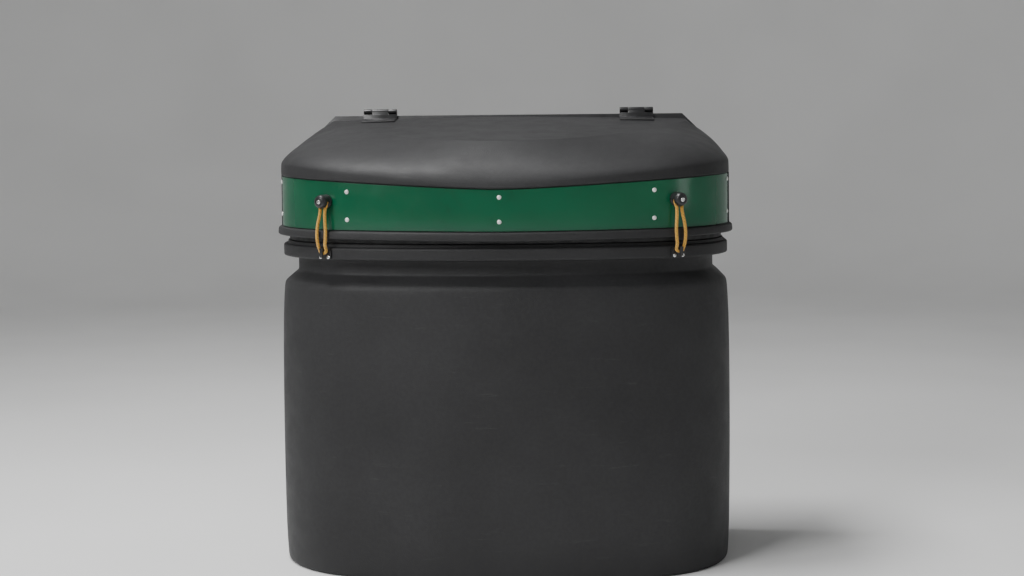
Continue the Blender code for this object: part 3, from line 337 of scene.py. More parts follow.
def mesh_from(name, verts, faces):
    """Mesh of points and faces, with its normals turned outwards."""
    mesh = bpy.data.meshes.new(name)
    mesh.from_pydata([tuple(v) for v in verts], [], faces)
    mesh.validate()
    bm = bmesh.new()
    bm.from_mesh(mesh)
    bmesh.ops.recalc_face_normals(bm, faces=bm.faces)
    bm.to_mesh(mesh)
    bm.free()
    return mesh


def add_subdivision(ob, levels):
    mod = ob.modifiers.new("smooth", "SUBSURF")
    mod.levels = mod.render_levels = levels


def frame_to(direction, at=(0, 0, 0)):
    """Matrix whose local Z is the direction and local Y is as near up as it can be."""
    z = Vector(direction).normalized()
    x = UP.cross(z)
    x = x.normalized() if x.length > 1e-4 else Vector((1, 0, 0))
    m = Matrix((x, z.cross(x), z)).transposed().to_4x4()
    m.translation = Vector(at)
    return m


def fillet(profile, r, n=3):
    """Round the inner corners of an open profile of (radius, height)."""
    pts = [Vector(p) for p in profile]
    out = [pts[0]]
    for a, b, c in zip(pts, pts[1:], pts[2:]):
        u, v = a - b, c - b
        cut = min(r, u.length * 0.45, v.length * 0.45)
        p, q = b + u.normalized() * cut, b + v.normalized() * cut
        for k in range(n + 1):
            t = k / n
            out.append(p * (1 - t) ** 2 + b * (2 * t * (1 - t)) + q * t * t)
    out.append(pts[-1])
    return out


def turned_mesh(name, profile, at=(0, 0, 0), axis=(0, 0, 1), segs=48):
    """Surface of revolution; a profile that starts or ends off the axis closes on itself."""
    m = frame_to(axis, at) if tuple(axis) != (0, 0, 1) else Matrix.Translation(at)
    closed = profile[0][0] > TINY
    verts, rows = [], []
    for r, z in profile:
        if r < TINY:
            rows.append([len(verts)] * segs)
            verts.append(m @ Vector((0, 0, z)))
            continue
        rows.append(list(range(len(verts), len(verts) + segs)))
        for k in range(segs):
            a = 2 * math.pi * k / segs
            verts.append(m @ Vector((r * math.cos(a), r * math.sin(a), z)))
    faces = []
    pairs = list(zip(rows, rows[1:])) + ([(rows[-1], rows[0])] if closed else [])
    for lo, hi in pairs:
        for k in range(segs):
            q = (k + 1) % segs
            f = [lo[k], lo[q], hi[q], hi[k]]
            f = [v for i, v in enumerate(f) if v not in f[:i]]
            if len(f) > 2:
                faces.append(f)
    return mesh_from(name, verts, faces)


def turned(name, node, profile, at=(0, 0, 0), axis=(0, 0, 1), segs=48, r=0.0004, n=2, angle=40):
    """A turned piece with its edges rounded to r in n steps, in place of a CAD node."""
    return finish_mesh(name, turned_mesh(name, fillet(profile, r, n), at, axis, segs), node, angle)


def dressed(node, width, segments, angle):
    """A finer copy of a CAD node: flats joined up again and every sharp edge rounded."""
    mesh = frame["nodes"][node].data.copy()
    mesh.name = node + "_fine"
    bm = bmesh.new()
    bm.from_mesh(mesh)
    bmesh.ops.remove_doubles(bm, verts=bm.verts, dist=WELD)
    bmesh.ops.dissolve_limit(bm, angle_limit=math.radians(1.0), verts=bm.verts, edges=bm.edges)
    sharp = [e for e in bm.edges if len(e.link_faces) == 2 and e.calc_face_angle(0) > math.radians(angle)]
    bmesh.ops.bevel(bm, geom=sharp, offset=width, segments=segments, profile=0.5, affect="EDGES",
                    clamp_overlap=True, miter_outer="ARC")
    bm.to_mesh(mesh)
    bm.free()
    finish_mesh(node + "_fine", mesh, node, 45)


def tube_mesh(name, points, radius, segs=16, closed=False, ref=None):
    """Round tube along points, with UVs in metres along it and turns round it."""
    pts = [Vector(p) for p in points]
    n = len(pts)
    verts, faces, lengths = [], [], [0.0]
    for a, b in zip(pts, pts[1:] + pts[:1]):
        lengths.append(lengths[-1] + (b - a).length)
    side = Vector(ref or UP)
    for i, p in enumerate(pts):
        a = pts[i - 1] if i or closed else p
        b = pts[(i + 1) % n] if i < n - 1 or closed else p
        t = (b - a).normalized()
        if ref is None or not closed:
            side = (side - t * side.dot(t)).normalized()
        x = (side - t * side.dot(t)).normalized()
        y = t.cross(x)
        for k in range(segs):
            c = 2 * math.pi * k / segs
            verts.append(p + x * (radius * math.cos(c)) + y * (radius * math.sin(c)))
    rings = n if closed else n - 1
    uvs = []
    for i in range(rings):
        j = (i + 1) % n
        for k in range(segs):
            q = (k + 1) % segs
            faces.append((i * segs + k, i * segs + q, j * segs + q, j * segs + k))
            u0, u1, v0, v1 = lengths[i], lengths[i + 1], k / segs, (k + 1) / segs
            uvs.append(((u0, v0), (u0, v1), (u1, v1), (u1, v0)))
    if not closed:
        faces += [tuple(range(segs))[::-1], tuple(range((n - 1) * segs, n * segs))]
        uvs += [((0, 0),) * segs] * 2
    mesh = bpy.data.meshes.new(name)
    mesh.from_pydata([tuple(v) for v in verts], [], faces)
    layer = mesh.uv_layers.new(name="along")
    flat = [c for f in uvs for c in f]
    for k, c in enumerate(flat):
        layer.data[k].uv = c
    return mesh


def spline(points, per=6, closed=False):
    """Catmull-Rom through points."""
    pts = [Vector(p) for p in points]
    n = len(pts)
    get = (lambda i: pts[i % n]) if closed else (lambda i: pts[max(0, min(n - 1, i))])
    out = []
    for i in range(n if closed else n - 1):
        p0, p1, p2, p3 = get(i - 1), get(i), get(i + 1), get(i + 2)
        for k in range(per):
            t = k / per
            out.append(0.5 * (2 * p1 + (p2 - p0) * t + (2 * p0 - 5 * p1 + 4 * p2 - p3) * t * t
                              + (3 * p1 - p0 - 3 * p2 + p3) * t ** 3))
    if not closed:
        out.append(pts[-1])
    return out


# ---- the outline that lid and case share ----
def mix(pair, w):
    return pair[0] + (pair[1] - pair[0]) * w


def vee(x, half=HALF_W):
    """0 at the middle and 1 at the half width, straight but for a soft middle."""
    soft = 0.02
    return (math.sqrt((x / half) ** 2 + soft) - math.sqrt(soft)) / (math.sqrt(1 + soft) - math.sqrt(soft))


def corner_point(deg):
    """Plan position and outward normal on the corner's round, at an angle from the side."""
    a = math.radians(deg)
    return (CORNER_CX + CORNER_R * math.cos(a), CORNER_CY - CORNER_R * math.sin(a), math.cos(a), -math.sin(a))


def bow_point(f):
    """Plan position and outward normal on the bow, from the corner (0) to the middle (1)."""
    a = JOIN * (1 - f)
    return (BOW_R * math.sin(a), FRONT_Y + BOW_R * (1 - math.cos(a)), math.sin(a), -math.cos(a))


def between(values, t):
    """The value at a fractional place in a list."""
    i = min(int(t), len(values) - 2)
    return values[i] + (values[i + 1] - values[i]) * (t - i)


def outline(side, corner, bow, fine):
    """Right half of the outline, from the back to the front's middle, each gap cut into fine steps."""
    ys = (*side, corner_point(corner[0])[1])
    degs = (*corner, 90 - math.degrees(JOIN))
    out = [(HALF_W, between(ys, k / fine), 1.0, 0.0) for k in range(len(side) * fine)]
    out += [corner_point(between(degs, k / fine)) for k in range(len(corner) * fine)]
    return out + [bow_point(k / (fine * bow)) for k in range(bow * fine + 1)]


def mirrored(half):
    """The whole outline, from the back's right round the front to its left."""
    return half + [(-x, y, -nx, ny) for x, y, nx, ny in reversed(half[:-1])]


def inset(p, d):
    return p[0] - p[2] * d, p[1] - p[3] * d


def on_front(x, d):
    """Point at X on the front at an inset, and the outward normal there."""
    sign, ax = (1 if x >= 0 else -1), abs(x)
    if ax <= (BOW_R - d) * math.sin(JOIN):
        a = math.asin(ax / (BOW_R - d))
        y, n = FRONT_Y + BOW_R - (BOW_R - d) * math.cos(a), Vector((math.sin(a), -math.cos(a), 0))
    else:
        a = math.acos(min(1.0, (ax - CORNER_CX) / (CORNER_R - d)))
        y, n = CORNER_CY - (CORNER_R - d) * math.sin(a), Vector((math.cos(a), -math.sin(a), 0))
    n.x *= sign
    return Vector((x, y, 0)), n


# ---- lid ----
BAND_END, BAND_DEPTH = 5.5, 0.0040  # the recess stops this many degrees short of the side
SIDE_LID = (LID_BACK_Y, 0.173, 0.161, 0.148, 0.115, 0.080, 0.045)
CORNER_LID = (0, 5, 6, 14, 24, 34, 44, 54, 64)
N_BOW, FINE = 7, 3
# the deck's edge turns its corner at this coarse step, then comes in from CREASE_X by these amounts
TURN_STEP, SIDE_TUCK, CORNER_TUCK = 3, 0.034, 0.106
# along the outline from back to front: where the hood's two handles lie, as shares of its run and rise
HOOD_KEYS = [(0.0, 0.24, 0.30, 0.66, 0.68), (0.22, 0.14, 0.46, 0.63, 0.86), (0.45, 0.08, 0.46, 0.60, 0.88),
             (0.62, 0.06, 0.40, 0.57, 0.81), (1.0, 0.06, 0.34, 0.53, 0.70)]
HOOD_STEPS = (0.0, 0.02, 0.06, 0.12, 0.20, 0.29, 0.38, 0.48, 0.58, 0.68, 0.78, 0.87, 0.94, 0.975, 0.990, 1.0)


def deck_z(x, y):
    return DECK_Z + DECK_SLOPE * (y - DECK_FRONT) - DECK_CROWN * vee(x, 0.31)


def lid_profile(p):
    """Rows below the hood, outer and inner: (inset, height) pairs for one plan position."""
    w = vee(p[0])
    skirt, ledge, top = mix(SKIRT_Z, w), mix(LEDGE_Z, w), mix(BAND_TOP, w)
    hood = mix(HOOD_Z, w) + max(0.0, p[1] / LID_BACK_Y) * BACK_RISE
    recess = 0.0 if abs(p[2]) > math.cos(math.radians(BAND_END)) else BAND_DEPTH
    a, b = 0.0030 + recess, 0.0038 + recess
    mid = (skirt + ledge) / 2
    flared = [(0.0024, skirt), (0.0010, skirt + 0.0004), (0.0001, skirt + 0.0016), (0.0, skirt + 0.0030),
              (0.0001, mid), (0.0006, ledge - 0.0030), (0.0012, ledge - 0.0014), (0.0024, ledge - 0.0004)]
    outer = [(d - FLARE, z) for d, z in flared]
    outer += [(a - 0.0004, ledge + 0.0002), (a, ledge + 0.0009), (a, ledge + 0.0045),
              (a + 0.0001, ledge + 0.0110), (b, top - 0.0006), (b - 0.0003, top + 0.0006),
              (0.0046, top + 0.0012), (0.0040, top + 0.0020),
              (0.0038, top + 0.0035), (0.0042, hood - 0.0030)]
    inner = [(0.0020, skirt + 0.0001), (0.0028, skirt + 0.0008), (0.0032, skirt + 0.0020), (0.0034, mid),
             (0.0038, ledge - 0.0055), (0.0046, ledge - 0.0042), (0.0068, ledge - 0.0036),
             (0.0230, ledge - 0.0034), (0.0240, ledge - 0.0026), (0.0240, ledge + 0.0045),
             (0.0180, ledge + 0.0080), (0.0124, ledge + 0.0120), (0.0122, top - 0.0020),
             (0.0112, top - 0.0006), (0.0104, top + 0.0005), (0.0092, top + 0.0020),
             (0.0085, top + 0.0030), (0.0082, hood - 0.0040)]
    return outer, inner, hood


def crease_at(i):
    """The deck's edge at a position along the half outline, counted in its coarse steps."""
    if i <= TURN_STEP:
        return CREASE_X, LID_BACK_Y + (CREASE_Y - LID_BACK_Y) * i / TURN_STEP
    side, corner = len(SIDE_LID), len(SIDE_LID) + len(CORNER_LID)
    if i <= side:
        x = CREASE_X - SIDE_TUCK * (i - TURN_STEP) / (side - TURN_STEP)
    elif i < corner:
        x = CREASE_X - mix((SIDE_TUCK, CORNER_TUCK), (i - side) / (corner - side))
    else:
        x = (CREASE_X - CORNER_TUCK) * (1 - (i - corner) / N_BOW)
    return x, DECK_FRONT + (CREASE_Y - DECK_FRONT) * (x / CREASE_X) ** 2


def hood_keys(s):
    for (s0, *a), (s1, *b) in zip(HOOD_KEYS, HOOD_KEYS[1:]):
        if s <= s1:
            f = (s - s0) / (s1 - s0)
            f = f * f * (3 - 2 * f)
            return [u + (v - u) * f for u, v in zip(a, b)]
    return list(HOOD_KEYS[-1][1:])


def hood_curve(foot, edge, keys):
    """Points from the hood's foot to the deck's edge, on a curve with two handles."""
    ha, va, hb, vb = keys
    span = edge - foot
    low = foot + Vector((span.x * ha, span.y * ha, span.z * va))
    high = foot + Vector((span.x * hb, span.y * hb, span.z * vb))
    out = []
    for u in HOOD_STEPS:
        w = 1 - u
        out.append(foot * w**3 + low * (3 * u * w * w) + high * (3 * u * u * w) + edge * u**3)
    return out


def build_lid():
    """Skirt, band recess, hood and deck as one skin, thickened inwards and closed round its rims."""
    half = outline(SIDE_LID, CORNER_LID, N_BOW, FINE)
    line = mirrored(half)
    crease = [crease_at(i / FINE) for i in range(len(half))]
    crease += [(-x, y) for x, y in reversed(crease[:-1])]
    mid = len(half) - 1
    outer, inner = [], []
    for i, p in enumerate(line):
        prof_out, prof_in, hood = lid_profile(p)
        col = [Vector((*inset(p, d), z)) for d, z in prof_out]
        inner.append([Vector((*inset(p, d), z)) for d, z in prof_in])
        foot = Vector((*inset(p, 0.0048), hood))
        edge = Vector((*crease[i], deck_z(*crease[i])))
        outer.append(col + hood_curve(foot, edge, hood_keys(min(i, len(line) - 1 - i) / mid)))
    n_col, n_row, last = len(outer), len(outer[0]), TURN_STEP * FINE
    verts = [v for col in outer for v in col]
    index = {(i, j): i * n_row + j for i in range(n_col) for j in range(n_row)}
    top = n_row - 1
    deck = {}
    for i in range(last, n_col - last):
        x, y0 = crease[i]
        deck[i, 0] = index[i, top]
        for k in range(1, last + 1):
            if last < i < n_col - 1 - last:
                f = (k / last) ** 1.35
                y = y0 + (LID_BACK_Y - y0) * f
                deck[i, k] = len(verts)
                verts.append(Vector((x, y, deck_z(x, y))))
    faces = [(index[i, j], index[i + 1, j], index[i + 1, j + 1], index[i, j + 1])
             for i in range(n_col - 1) for j in range(n_row - 1)]
    faces += [(deck[i, k], deck[i + 1, k], deck[i + 1, k + 1], deck[i, k + 1])
              for i in range(last + 1, n_col - 2 - last) for k in range(last)]
    for edge, sign in ((last, 1), (n_col - 1 - last, -1)):
        chain = [index[edge - sign * k, top] for k in range(last + 1)]
        col = [deck[edge + sign, k] for k in range(last + 1)]
        faces.append((chain[0], col[0], col[1]))
        faces += [(chain[k - 1], col[k], col[k + 1], chain[k]) for k in range(1, last)]
    shell = mesh_from("lid_skin", verts, faces)
    flip = -1 if shell.vertices[deck[n_col // 2, 2]].normal.z < 0 else 1
    inside = [v - shell.vertices[i].normal * (flip * WALL) for i, v in enumerate(verts)]
    for i in range(n_col):
        for j, v in enumerate(inner[i]):
            inside[index[i, j]] = v
    for k, v in enumerate(verts):
        if abs(v.y - LID_BACK_Y) < 1e-6:
            inside[k].y = LID_BACK_Y
    n = len(verts)
    count = {}
    for f in faces:
        for a, b in zip(f, f[1:] + f[:1]):
            count.setdefault((min(a, b), max(a, b)), []).append((a, b))
    rims = [(b, a, a + n, b + n) for (a, b), *more in count.values() if not more]
    allf = faces + [tuple(k + n for k in reversed(f)) for f in faces] + rims
    ob = finish_mesh("lid_moulding", mesh_from("lid_moulding", verts + inside, allf), "lid_shell", 50)
    hold_edges(ob, 60)
    add_subdivision(ob, 1)


def hold_edges(ob, angle):
    """Keep hard corners nearly hard when the surface is subdivided."""
    bm = bmesh.new()
    bm.from_mesh(ob.data)
    layer = bm.edges.layers.float.get("crease_edge") or bm.edges.layers.float.new("crease_edge")
    for e in bm.edges:
        if len(e.link_faces) == 2 and e.calc_face_angle(0) > math.radians(angle):
            e[layer] = 0.8
    bm.to_mesh(ob.data)
    bm.free()


def build_band():
    """The enamelled strip: rounded long edges, set into the lid's recess."""
    start, stop, steps, bow_steps = 6.3, 90 - math.degrees(JOIN), 30, 40
    half = [corner_point(start + (stop - start) * k / steps) for k in range(steps + 1)]
    half += [bow_point(k / bow_steps) for k in range(1, bow_steps + 1)]
    verts, faces = [], []
    for p in mirrored(half):
        w = vee(p[0])
        lo, hi = mix(LEDGE_Z, w) + 0.0014, mix(BAND_TOP, w) - 0.0006
        section = [(0.0057, lo), (0.0053, lo + 0.0002), (0.0052, lo + 0.0007), (0.0055, (lo + hi) / 2),
                   (0.0058, hi - 0.0007), (0.0059, hi - 0.0002), (0.0063, hi), (0.0068, hi), (0.0064, lo)]
        verts += [Vector((*inset(p, d), z)) for d, z in section]
    n = len(section)
    for a in range(0, len(verts) - n, n):
        faces += [(a + k, a + (k + 1) % n, a + n + (k + 1) % n, a + n + k) for k in range(n)]
    faces += [tuple(range(n)), tuple(range(len(verts) - n, len(verts)))[::-1]]
    finish_mesh("band_strip", mesh_from("band_strip", verts, faces), "trim_band", 40)


def build_rivets():
    spots = ((0.0, 0.6266, 0.5872), (0.248, 0.6355, 0.5905), (0.3750, 0.6485, 0.5945))
    profile = [(0, 0.0002), (0.0036, 0.0002), (0.0036, 0.0005), (0.0034, 0.0010), (0.0027, 0.0015),
               (0.0015, 0.0020), (0, 0.0022)]
    k = 0
    for x, hi, lo in spots:
        for s in ((1,) if x == 0 else (-1, 1)):
            for z in (hi, lo):
                k += 1
                p, n = on_front(s * x, 0.0052)
                p.z = z
                turned("rivet_head_%02d" % k, "band_rivet_%02d" % k, profile, p, n, 24, 0.0002, 2, 70)


# ---- case ----
# up the outside and down the inside: the front's inset, the back's inset and the height
BODY_ROWS = [
    (0.0095, 0.0060, 0.0000), (0.0070, 0.0035, 0.0004), (0.0052, 0.0016, 0.0022), (0.0040, 0.0004, 0.0050),
    (0.0034, 0.0000, 0.0085), (0.0022, 0.0000, 0.0300), (0.0012, 0.0000, 0.0600), (0.0006, 0.0000, 0.1100),
    (0.0004, 0.0000, 0.1600), (0.0005, 0.0000, 0.2300), (0.0010, 0.0000, 0.3000), (0.0020, 0.0000, 0.3650),
    (0.0034, 0.0000, 0.4200), (0.0049, 0.0000, 0.4500), (0.0062, 0.0000, 0.4680), (0.0070, 0.0000, 0.4745),
    (0.0081, 0.0000, 0.4788), (0.0098, 0.0000, 0.4816), (0.0124, 0.0000, 0.4840), (0.0200, 0.0000, 0.4905),
    (0.0278, 0.0000, 0.4968), (0.0298, 0.0000, 0.4988), (0.0308, 0.0000, 0.5015), (0.0310, 0.0000, 0.5110),
    (0.0309, 0.0000, 0.5205), (0.0302, 0.0000, 0.5226), (0.0285, 0.0000, 0.5236), (0.0088, 0.0000, 0.5246),
    (0.0072, 0.0000, 0.5251), (0.0063, 0.0000, 0.5264), (0.0062, 0.0000, 0.5285), (0.0062, 0.0000, 0.5400),
    (0.0064, 0.0000, 0.5424), (0.0074, 0.0000, 0.5441), (0.0088, 0.0000, 0.5448), (0.0128, 0.0000, 0.5451),
    (0.0136, 0.0000, 0.5460), (0.0138, 0.0000, 0.5494), (0.0142, 0.0002, 0.5506), (0.0154, 0.0008, 0.5510),
    (0.0230, 0.0038, 0.5510), (0.0242, 0.0043, 0.5505), (0.0246, 0.0045, 0.5492), (0.0250, 0.0045, 0.5320),
    (0.0290, 0.0045, 0.5275), (0.0355, 0.0045, 0.5210), (0.0355, 0.0045, 0.5010), (0.0165, 0.0045, 0.4790),
    (0.0115, 0.0045, 0.4660), (0.0055, 0.0045, 0.3000), (0.0050, 0.0045, 0.1600), (0.0075, 0.0045, 0.0120),
    (0.0080, 0.0050, 0.0050), (0.0100, 0.0070, 0.0010),
]
SIDE_BODY, CORNER_BODY = (0.166, 0.120, 0.065), (0, 9, 19, 29, 40, 51, 63)


def body_loop(d, e, fine=FINE):
    """One level of the case: the D inset by d, and the flat back inset by e."""
    pts = [inset(p, d) for p in mirrored(outline(SIDE_BODY, CORNER_BODY, N_BOW, fine))]
    w, y0 = HALF_W - d - BACK_R, SIDE_BODY[0]
    rise = BODY_BACK_Y - e - y0
    arc = [math.radians(90 * k / (4 * fine)) for k in range(1, 4 * fine + 1)]
    left = [(-w - BACK_R * math.cos(a), y0 + rise * math.sin(a)) for a in arc]
    flat = [(w * (k / 4 - 1), BODY_BACK_Y - e) for k in range(1, 8)]
    return pts + left + flat + [(-x, y) for x, y in reversed(left)]


def ring_mesh(name, rows, loop):
    """Closed skin over loops of points, the last row joined to the first."""
    verts = [Vector((x, y, row[-1])) for row in rows for x, y in loop(*row[:-1])]
    n = len(verts) // len(rows)
    faces = []
    for j in range(len(rows)):
        a, b = j * n, (j + 1) % len(rows) * n
        faces += [(a + k, a + (k + 1) % n, b + (k + 1) % n, b + k) for k in range(n)]
    return mesh_from(name, verts, faces)


def build_case():
    finish_mesh("case_moulding", ring_mesh("case_moulding", BODY_ROWS, body_loop), "body_shell", 55)


# ---- latches ----
CROSS = 0.00055  # half the width of a screw's cross recess


def screw(name, node, profile, at, axis, top, size):
    """A pan-head screw with a cross recess: top is the head's height, size the cross's reach."""
    ob = turned(name, node, profile, at, axis, 32, 0.0003, 2, 45)
    m = frame_to(axis, at)
    bm = bmesh.new()
    for a, b in ((size, CROSS), (CROSS, size)):
        v = [bm.verts.new(m @ Vector((x, y, z))) for z in (top - 0.0011, top + 0.002) for x, y in
             ((-a, -b), (a, -b), (a, b), (-a, b))]
        for f in ((0, 3, 2, 1), (4, 5, 6, 7), (0, 1, 5, 4), (1, 2, 6, 5), (2, 3, 7, 6), (3, 0, 4, 7)):
            bm.faces.new([v[k] for k in f])
    cut = bpy.data.meshes.new(name + "_cut")
    bm.to_mesh(cut)
    bm.free()
    tool = bpy.data.objects.new(name + "_cut", cut)
    bpy.context.scene.collection.objects.link(tool)
    mod = ob.modifiers.new("cross", "BOOLEAN")
    mod.operation, mod.solver, mod.use_self, mod.object = "DIFFERENCE", "EXACT", True, tool
    bpy.context.view_layer.update()
    done = bpy.data.meshes.new_from_object(ob.evaluated_get(bpy.context.evaluated_depsgraph_get()))
    ob.modifiers.clear()
    ob.data = done
    bpy.data.objects.remove(tool)


def knob_guard(tag, base, n):
    """The rim over the top half of the knob's waist."""
    m = frame_to(n, base)
    verts, faces, count = [], [], 32
    for k in range(count + 1):
        a = math.pi * k / count
        for r, h in ((0.0112, 0.0050), (0.0112, 0.0130), (0.0101, 0.0130), (0.0101, 0.0050)):
            verts.append(m @ Vector((r * math.cos(a), r * math.sin(a), h)))
    for k in range(count):
        faces += [(4 * k + j, 4 * k + (j + 1) % 4, 4 * k + 4 + (j + 1) % 4, 4 * k + 4 + j) for j in range(4)]
    faces += [(3, 2, 1, 0), tuple(4 * count + j for j in range(4))]
    name = "knob_guard_" + tag
    finish_mesh(name, mesh_from(name, verts, faces), "latch_knob_" + tag, 50)


def loop_path(base, n, rim, rim_n):
    """The cord's middle line: round the knob's waist, down both legs and under the hook."""
    across = UP.cross(n).normalized()
    centre = base + n * CORD_OUT
    arc = [math.pi * k / 6 for k in range(7)]
    out = [centre + CORD_TURN_R * (UP * math.sin(a) - across * math.cos(a)) for a in arc]
    # each point of a leg: sideways from the middle, up, and out from the waist
    leg = [(0.0064, -0.0060, 0.0), (0.0046, -0.0135, 0.0006), (0.0052, -0.0240, 0.0016),
           (0.0072, -0.0370, 0.0026), (0.0084, -0.0500, 0.0026),
           (0.0080, -0.0620, 0.0020), (0.0068, -0.0710, 0.0006)]
    lean = (rim - base).dot(across) / (HOOK_Z - KNOB_Z)
    right = [centre + across * (u + lean * v) + UP * v + n * w for u, v, w in leg]
    left = [centre + across * (-u + lean * v) + UP * v + n * w for u, v, w in reversed(leg)]
    bight = rim + rim_n * 0.0062 + UP * HOOK_Z
    low = [bight + across * (0.0062 * math.cos(a)) - UP * (0.0048 * math.sin(a)) for a in arc]
    return spline(out + right + low + left, 8, True)


def build_latch(side):
    tag = "r" if side > 0 else "l"
    base, n = on_front(side * KNOB_X, 0.0050)
    base.z = KNOB_Z
    profile = [(0.0024, 0.0), (0.0112, 0.0), (0.0116, 0.0008), (0.0114, 0.0044), (0.0106, 0.0056),
               (0.0042, 0.0060), (0.0040, 0.0124), (0.0106, 0.0125), (0.0112, 0.0134), (0.0110, 0.0168),
               (0.0094, 0.0208), (0.0066, 0.0228), (0.0048, 0.0228), (0.0046, 0.0212), (0.0024, 0.0212)]
    turned("knob_" + tag, "latch_knob_" + tag, profile, base, n, 48, 0.0008, 3, 50)
    knob_guard(tag, base, n)
    head = [(0, 0.0004), (0.0019, 0.0004), (0.0019, 0.0215), (0.0038, 0.0215), (0.0037, 0.0228),
            (0.0026, 0.0237), (0, 0.0239)]
    screw("knob_bolt_" + tag, "knob_screw_" + tag, head, base, n, 0.0237, 0.0022)
    rim, rim_n = on_front(side * HOOK_X, RIM_D)
    mesh = tube_mesh("elastic_loop_" + tag, loop_path(base, n, rim, rim_n), CORD_R, 20, True, n)
    finish_mesh("elastic_loop_" + tag, mesh, "shock_cord_" + tag, 80)
    dressed("lashing_hook_" + tag, 0.0007, 3, 35)
    m = frame_to(rim_n, rim)
    small = [(0, 0.0004), (0.0018, 0.0004), (0.0018, 0.0026), (0.0030, 0.0026), (0.0029, 0.0035),
             (0.0016, 0.0040), (0, 0.0041)]
    for k, mark in ((-1, "a"), (1, "b")):
        at = m @ Vector((k * HOOK_SCREW_X, HOOK_SCREW_Z, 0))
        screw("hook_bolt_" + tag + mark, "hook_screw_" + tag + mark, small, at, rim_n, 0.0040, 0.0018)


# ---- hinges and back ----
def build_hinges():
    pin = [(0, 0), (0.0013, 0), (0.0019, 0.0005), (0.0019, HINGE_L - 0.0005), (0.0013, HINGE_L), (0, HINGE_L)]
    for side, tag in ((-1, "l"), (1, "r")):
        dressed("hinge_frame_leaf_" + tag, 0.0004, 2, 40)
        dressed("hinge_lid_leaf_" + tag, 0.0004, 2, 40)
        end = (side * HINGE_X - HINGE_L / 2, AXIS_Y, AXIS_Z)
        turned("hinge_rod_" + tag, "hinge_pin_" + tag, pin, end, (1, 0, 0), 24, 0.0003)


def build_panel():
    dressed("back_panel", 0.0006, 2, 40)
    profile = [(0, 0), (0.0075, 0), (0.0075, 0.0007), (0.0068, 0.0010), (0.0056, 0.0013), (0.0054, 0.0022),
               (0.0044, 0.0031), (0.0024, 0.0035), (0, 0.0036)]
    for k, x in enumerate((-0.300, -0.100, 0.100, 0.300), 1):
        at = (x, PANEL_Y + 0.0003, PANEL_BOLT_Z)
        turned("panel_fixing_%d" % k, "panel_bolt_%d" % k, profile, at, (0, 1, 0), 36, 0.0002)


# ---- cylinders, regulator and hoses under the lid ----
def build_cylinder(side):
    """One gas cylinder with its foot ring, domes and neck, and the feed hose from its valve."""
    tag = "r" if side > 0 else "l"
    at = (side * TANK_X, TANK_Y, TANK_Z)
    r, t = TANK_R, SHEET
    foot = [(0, 0.0300), (r * 0.42, 0.0330), (r * 0.60, 0.0400), (0.1040, 0.0450), (0.1060, 0.0010),
            (0.1070, 0.0), (0.1110, 0.0), (0.1120, 0.0010), (0.1100, 0.0505), (r * 0.82, 0.0600),
            (r * 0.93, 0.0780), (r * 0.985, 0.1000), (r, 0.1240), (r, 0.2590), (r - 0.0006, 0.2600),
            (r - 0.0006, 0.2640), (r, 0.2650)]
    dome = [(r, 0.400), (r * 0.985, 0.4225), (r * 0.93, 0.4440), (r * 0.82, 0.4640), (r * 0.65, 0.4800),
            (r * 0.42, 0.4895), (0.020, 0.4940), (0.020, 0.5020), (0.0108, 0.5020)]
    inside = [(0.0108, 0.4890), (r * 0.42, 0.4895 - t), (r * 0.65, 0.4800 - t),
              (r * 0.82 - t * 0.5, 0.4640 - t), (r * 0.93 - t * 0.8, 0.4440 - t * 0.6),
              (r - t, 0.400), (r - t, 0.1240),
              (r * 0.82 - t * 0.5, 0.0600 + t * 1.5), (0.0900, 0.0470 + t), (0, 0.0330 + t)]
    turned("cylinder_" + tag, "gas_tank_" + tag, foot + dome + inside, at, (0, 0, 1), 96, 0.012, 3, 40)
    dressed("tank_collar_" + tag, 0.0010, 2, 40)
    dressed("tank_valve_" + tag, 0.0006, 2, 40)
    dressed("valve_handwheel_" + tag, 0.0008, 2, 35)
    dressed("hose_nut_" + tag, 0.0005, 2, 40)
    z = TANK_Z + 0.5340  # the valve's outlet
    pts = [(side * TANK_X, TANK_Y - 0.0563, z), (side * TANK_X, TANK_Y - 0.0720, z + 0.0005),
           (side * (TANK_X - 0.006), -0.0800, z + 0.004), (side * 0.140, -0.1060, z + 0.016),
           (side * 0.108, -0.1130, z + 0.034), (side * 0.082, -0.0960, z + 0.046),
           (side * 0.068, -0.0640, z + 0.0500), (side * 0.058, REG_Y - 0.0010, REG_Z),
           (side * 0.0483, REG_Y, REG_Z)]
    mesh = tube_mesh("feed_hose_" + tag, spline(pts, 8), 0.0052, 20)
    finish_mesh("feed_hose_" + tag, mesh, "pigtail_hose_" + tag, 60)


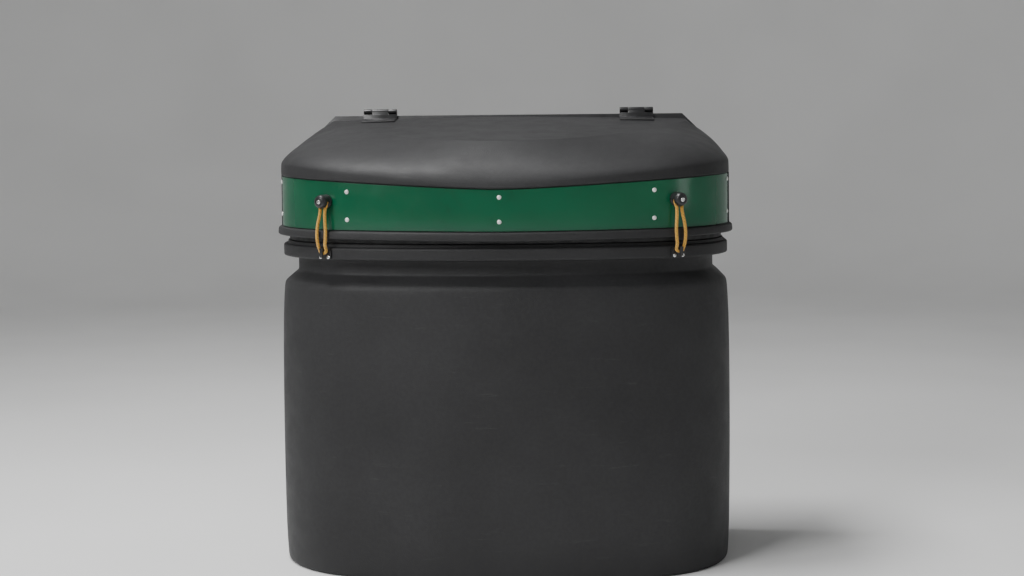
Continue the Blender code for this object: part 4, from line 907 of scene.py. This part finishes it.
def build_middle():
    """The hold-down rod with its thread, the supply hose, the regulator's pieces, the seal and the tray."""
    rod = [(0, 0.0045), (0.0090, 0.0045), (0.0095, 0.0055), (0.0095, 0.0150), (0.0062, 0.0160), (0.0062, 0.3)]
    for k in range(THREAD_TURNS):
        z = THREAD_FROM + k * THREAD_PITCH
        rod += [(0.0062, z), (0.0056, z + THREAD_PITCH * 0.5)]
    rod += [(0.0050, ROD_TOP), (0, ROD_TOP)]
    turned("rod", "hold_down_rod", rod, (0, TANK_Y, 0), (0, 0, 1), 32, 0.0002, 1, 25)
    hose = spline([(0, REG_Y - 0.008, 0.5596), (0, REG_Y - 0.008, 0.530), (0, -0.0605, 0.470),
                   (0, -0.0605, 0.250), (0, -0.0600, 0.060), (0, -0.0600, 0.0010)], 8)
    mesh = tube_mesh("supply_hose", hose, 0.0080, 24, False, (1, 0, 0))
    finish_mesh("supply_hose", mesh, "outlet_hose", 60)
    for node in ("hold_down_bar", "hold_down_washer", "wing_nut", "regulator_bracket", "regulator_body",
                 "regulator_bonnet", "changeover_lever"):
        dressed(node, 0.0006, 2, 35)
    dressed("rim_gasket", 0.0006, 2, 40)
    dressed("base_tray", 0.0006, 2, 40)


# ---- stage ----
def build_camera():
    turn = math.radians(CAM_TURN)
    cam = bpy.data.cameras.new("camera")
    cam.sensor_width, cam.lens = SENSOR, LENS
    ob = bpy.data.objects.new("camera", cam)
    m = Matrix.Rotation(turn + math.radians(CAM_YAW), 4, "Z")
    m = m @ Matrix.Rotation(math.radians(90 + CAM_PITCH), 4, "X")
    m = m @ Matrix.Rotation(math.radians(CAM_ROLL), 4, "Z")
    m.translation = (CAM_AWAY * math.sin(turn), -CAM_AWAY * math.cos(turn), CAM_Z)
    ob.matrix_world = m
    bpy.context.scene.collection.objects.link(ob)
    bpy.context.scene.camera = ob


def area_light(name, at, target, size, power):
    data = bpy.data.lights.new(name, "AREA")
    data.shape, data.size, data.size_y, data.energy = "RECTANGLE", *size, power
    ob = bpy.data.objects.new(name, data)
    ob.matrix_world = frame_to(Vector(at) - Vector(target), at)
    bpy.context.scene.collection.objects.link(ob)


def build_stage():
    """A round paper floor that sweeps up into a wall, a pale sky and three lights."""
    flat, sweep, wall_top = 4.5, 2.0, 7.0
    rows = [(0.0, 0.0), (1.5, 0.0), (flat, 0.0)]
    for deg in range(9, 91, 9):
        a = math.radians(deg)
        rows.append((flat + sweep * math.sin(a), sweep * (1 - math.cos(a))))
    rows.append((flat + sweep, wall_top))
    mesh = turned_mesh("floor", rows, (0, 0, -0.0005), (0, 0, 1), 96)
    look = Look("floor_paper", (0.84, 0.84, 0.835), 0.85, specular=0.2)
    look.shade(look.noise(1.3, 2.0), 0.97, 1.02)
    look.relief(look.noise(300.0, 2.0), 0.0001)
    mesh.materials.append(look.done())
    for p in mesh.polygons:
        p.use_smooth = True
    ob = bpy.data.objects.new("floor", mesh)
    bpy.context.scene.collection.objects.link(ob)
    world = bpy.data.worlds.new("studio")
    world.use_nodes = True
    sky = world.node_tree.nodes["Background"]
    sky.inputs["Color"].default_value = (0.90, 0.91, 0.92, 1)
    sky.inputs["Strength"].default_value = 0.15
    bpy.context.scene.world = world
    area_light("key", (-2.0, -2.5, 2.5), (0, 0, 0.62), (1.4, 1.4), 92)
    area_light("overhead", (-0.75, -0.15, 3.1), (-0.1, -0.05, 0.7), (1.1, 0.8), 92)
    area_light("fill", (3.0, -1.3, 1.1), (0, 0, 0.40), (0.8, 1.4), 5)


build_camera()
build_lid()
build_band()
build_rivets()
build_case()
for edge in (-1, 1):
    build_latch(edge)
    build_cylinder(edge)
build_hinges()
build_panel()
build_middle()
build_stage()
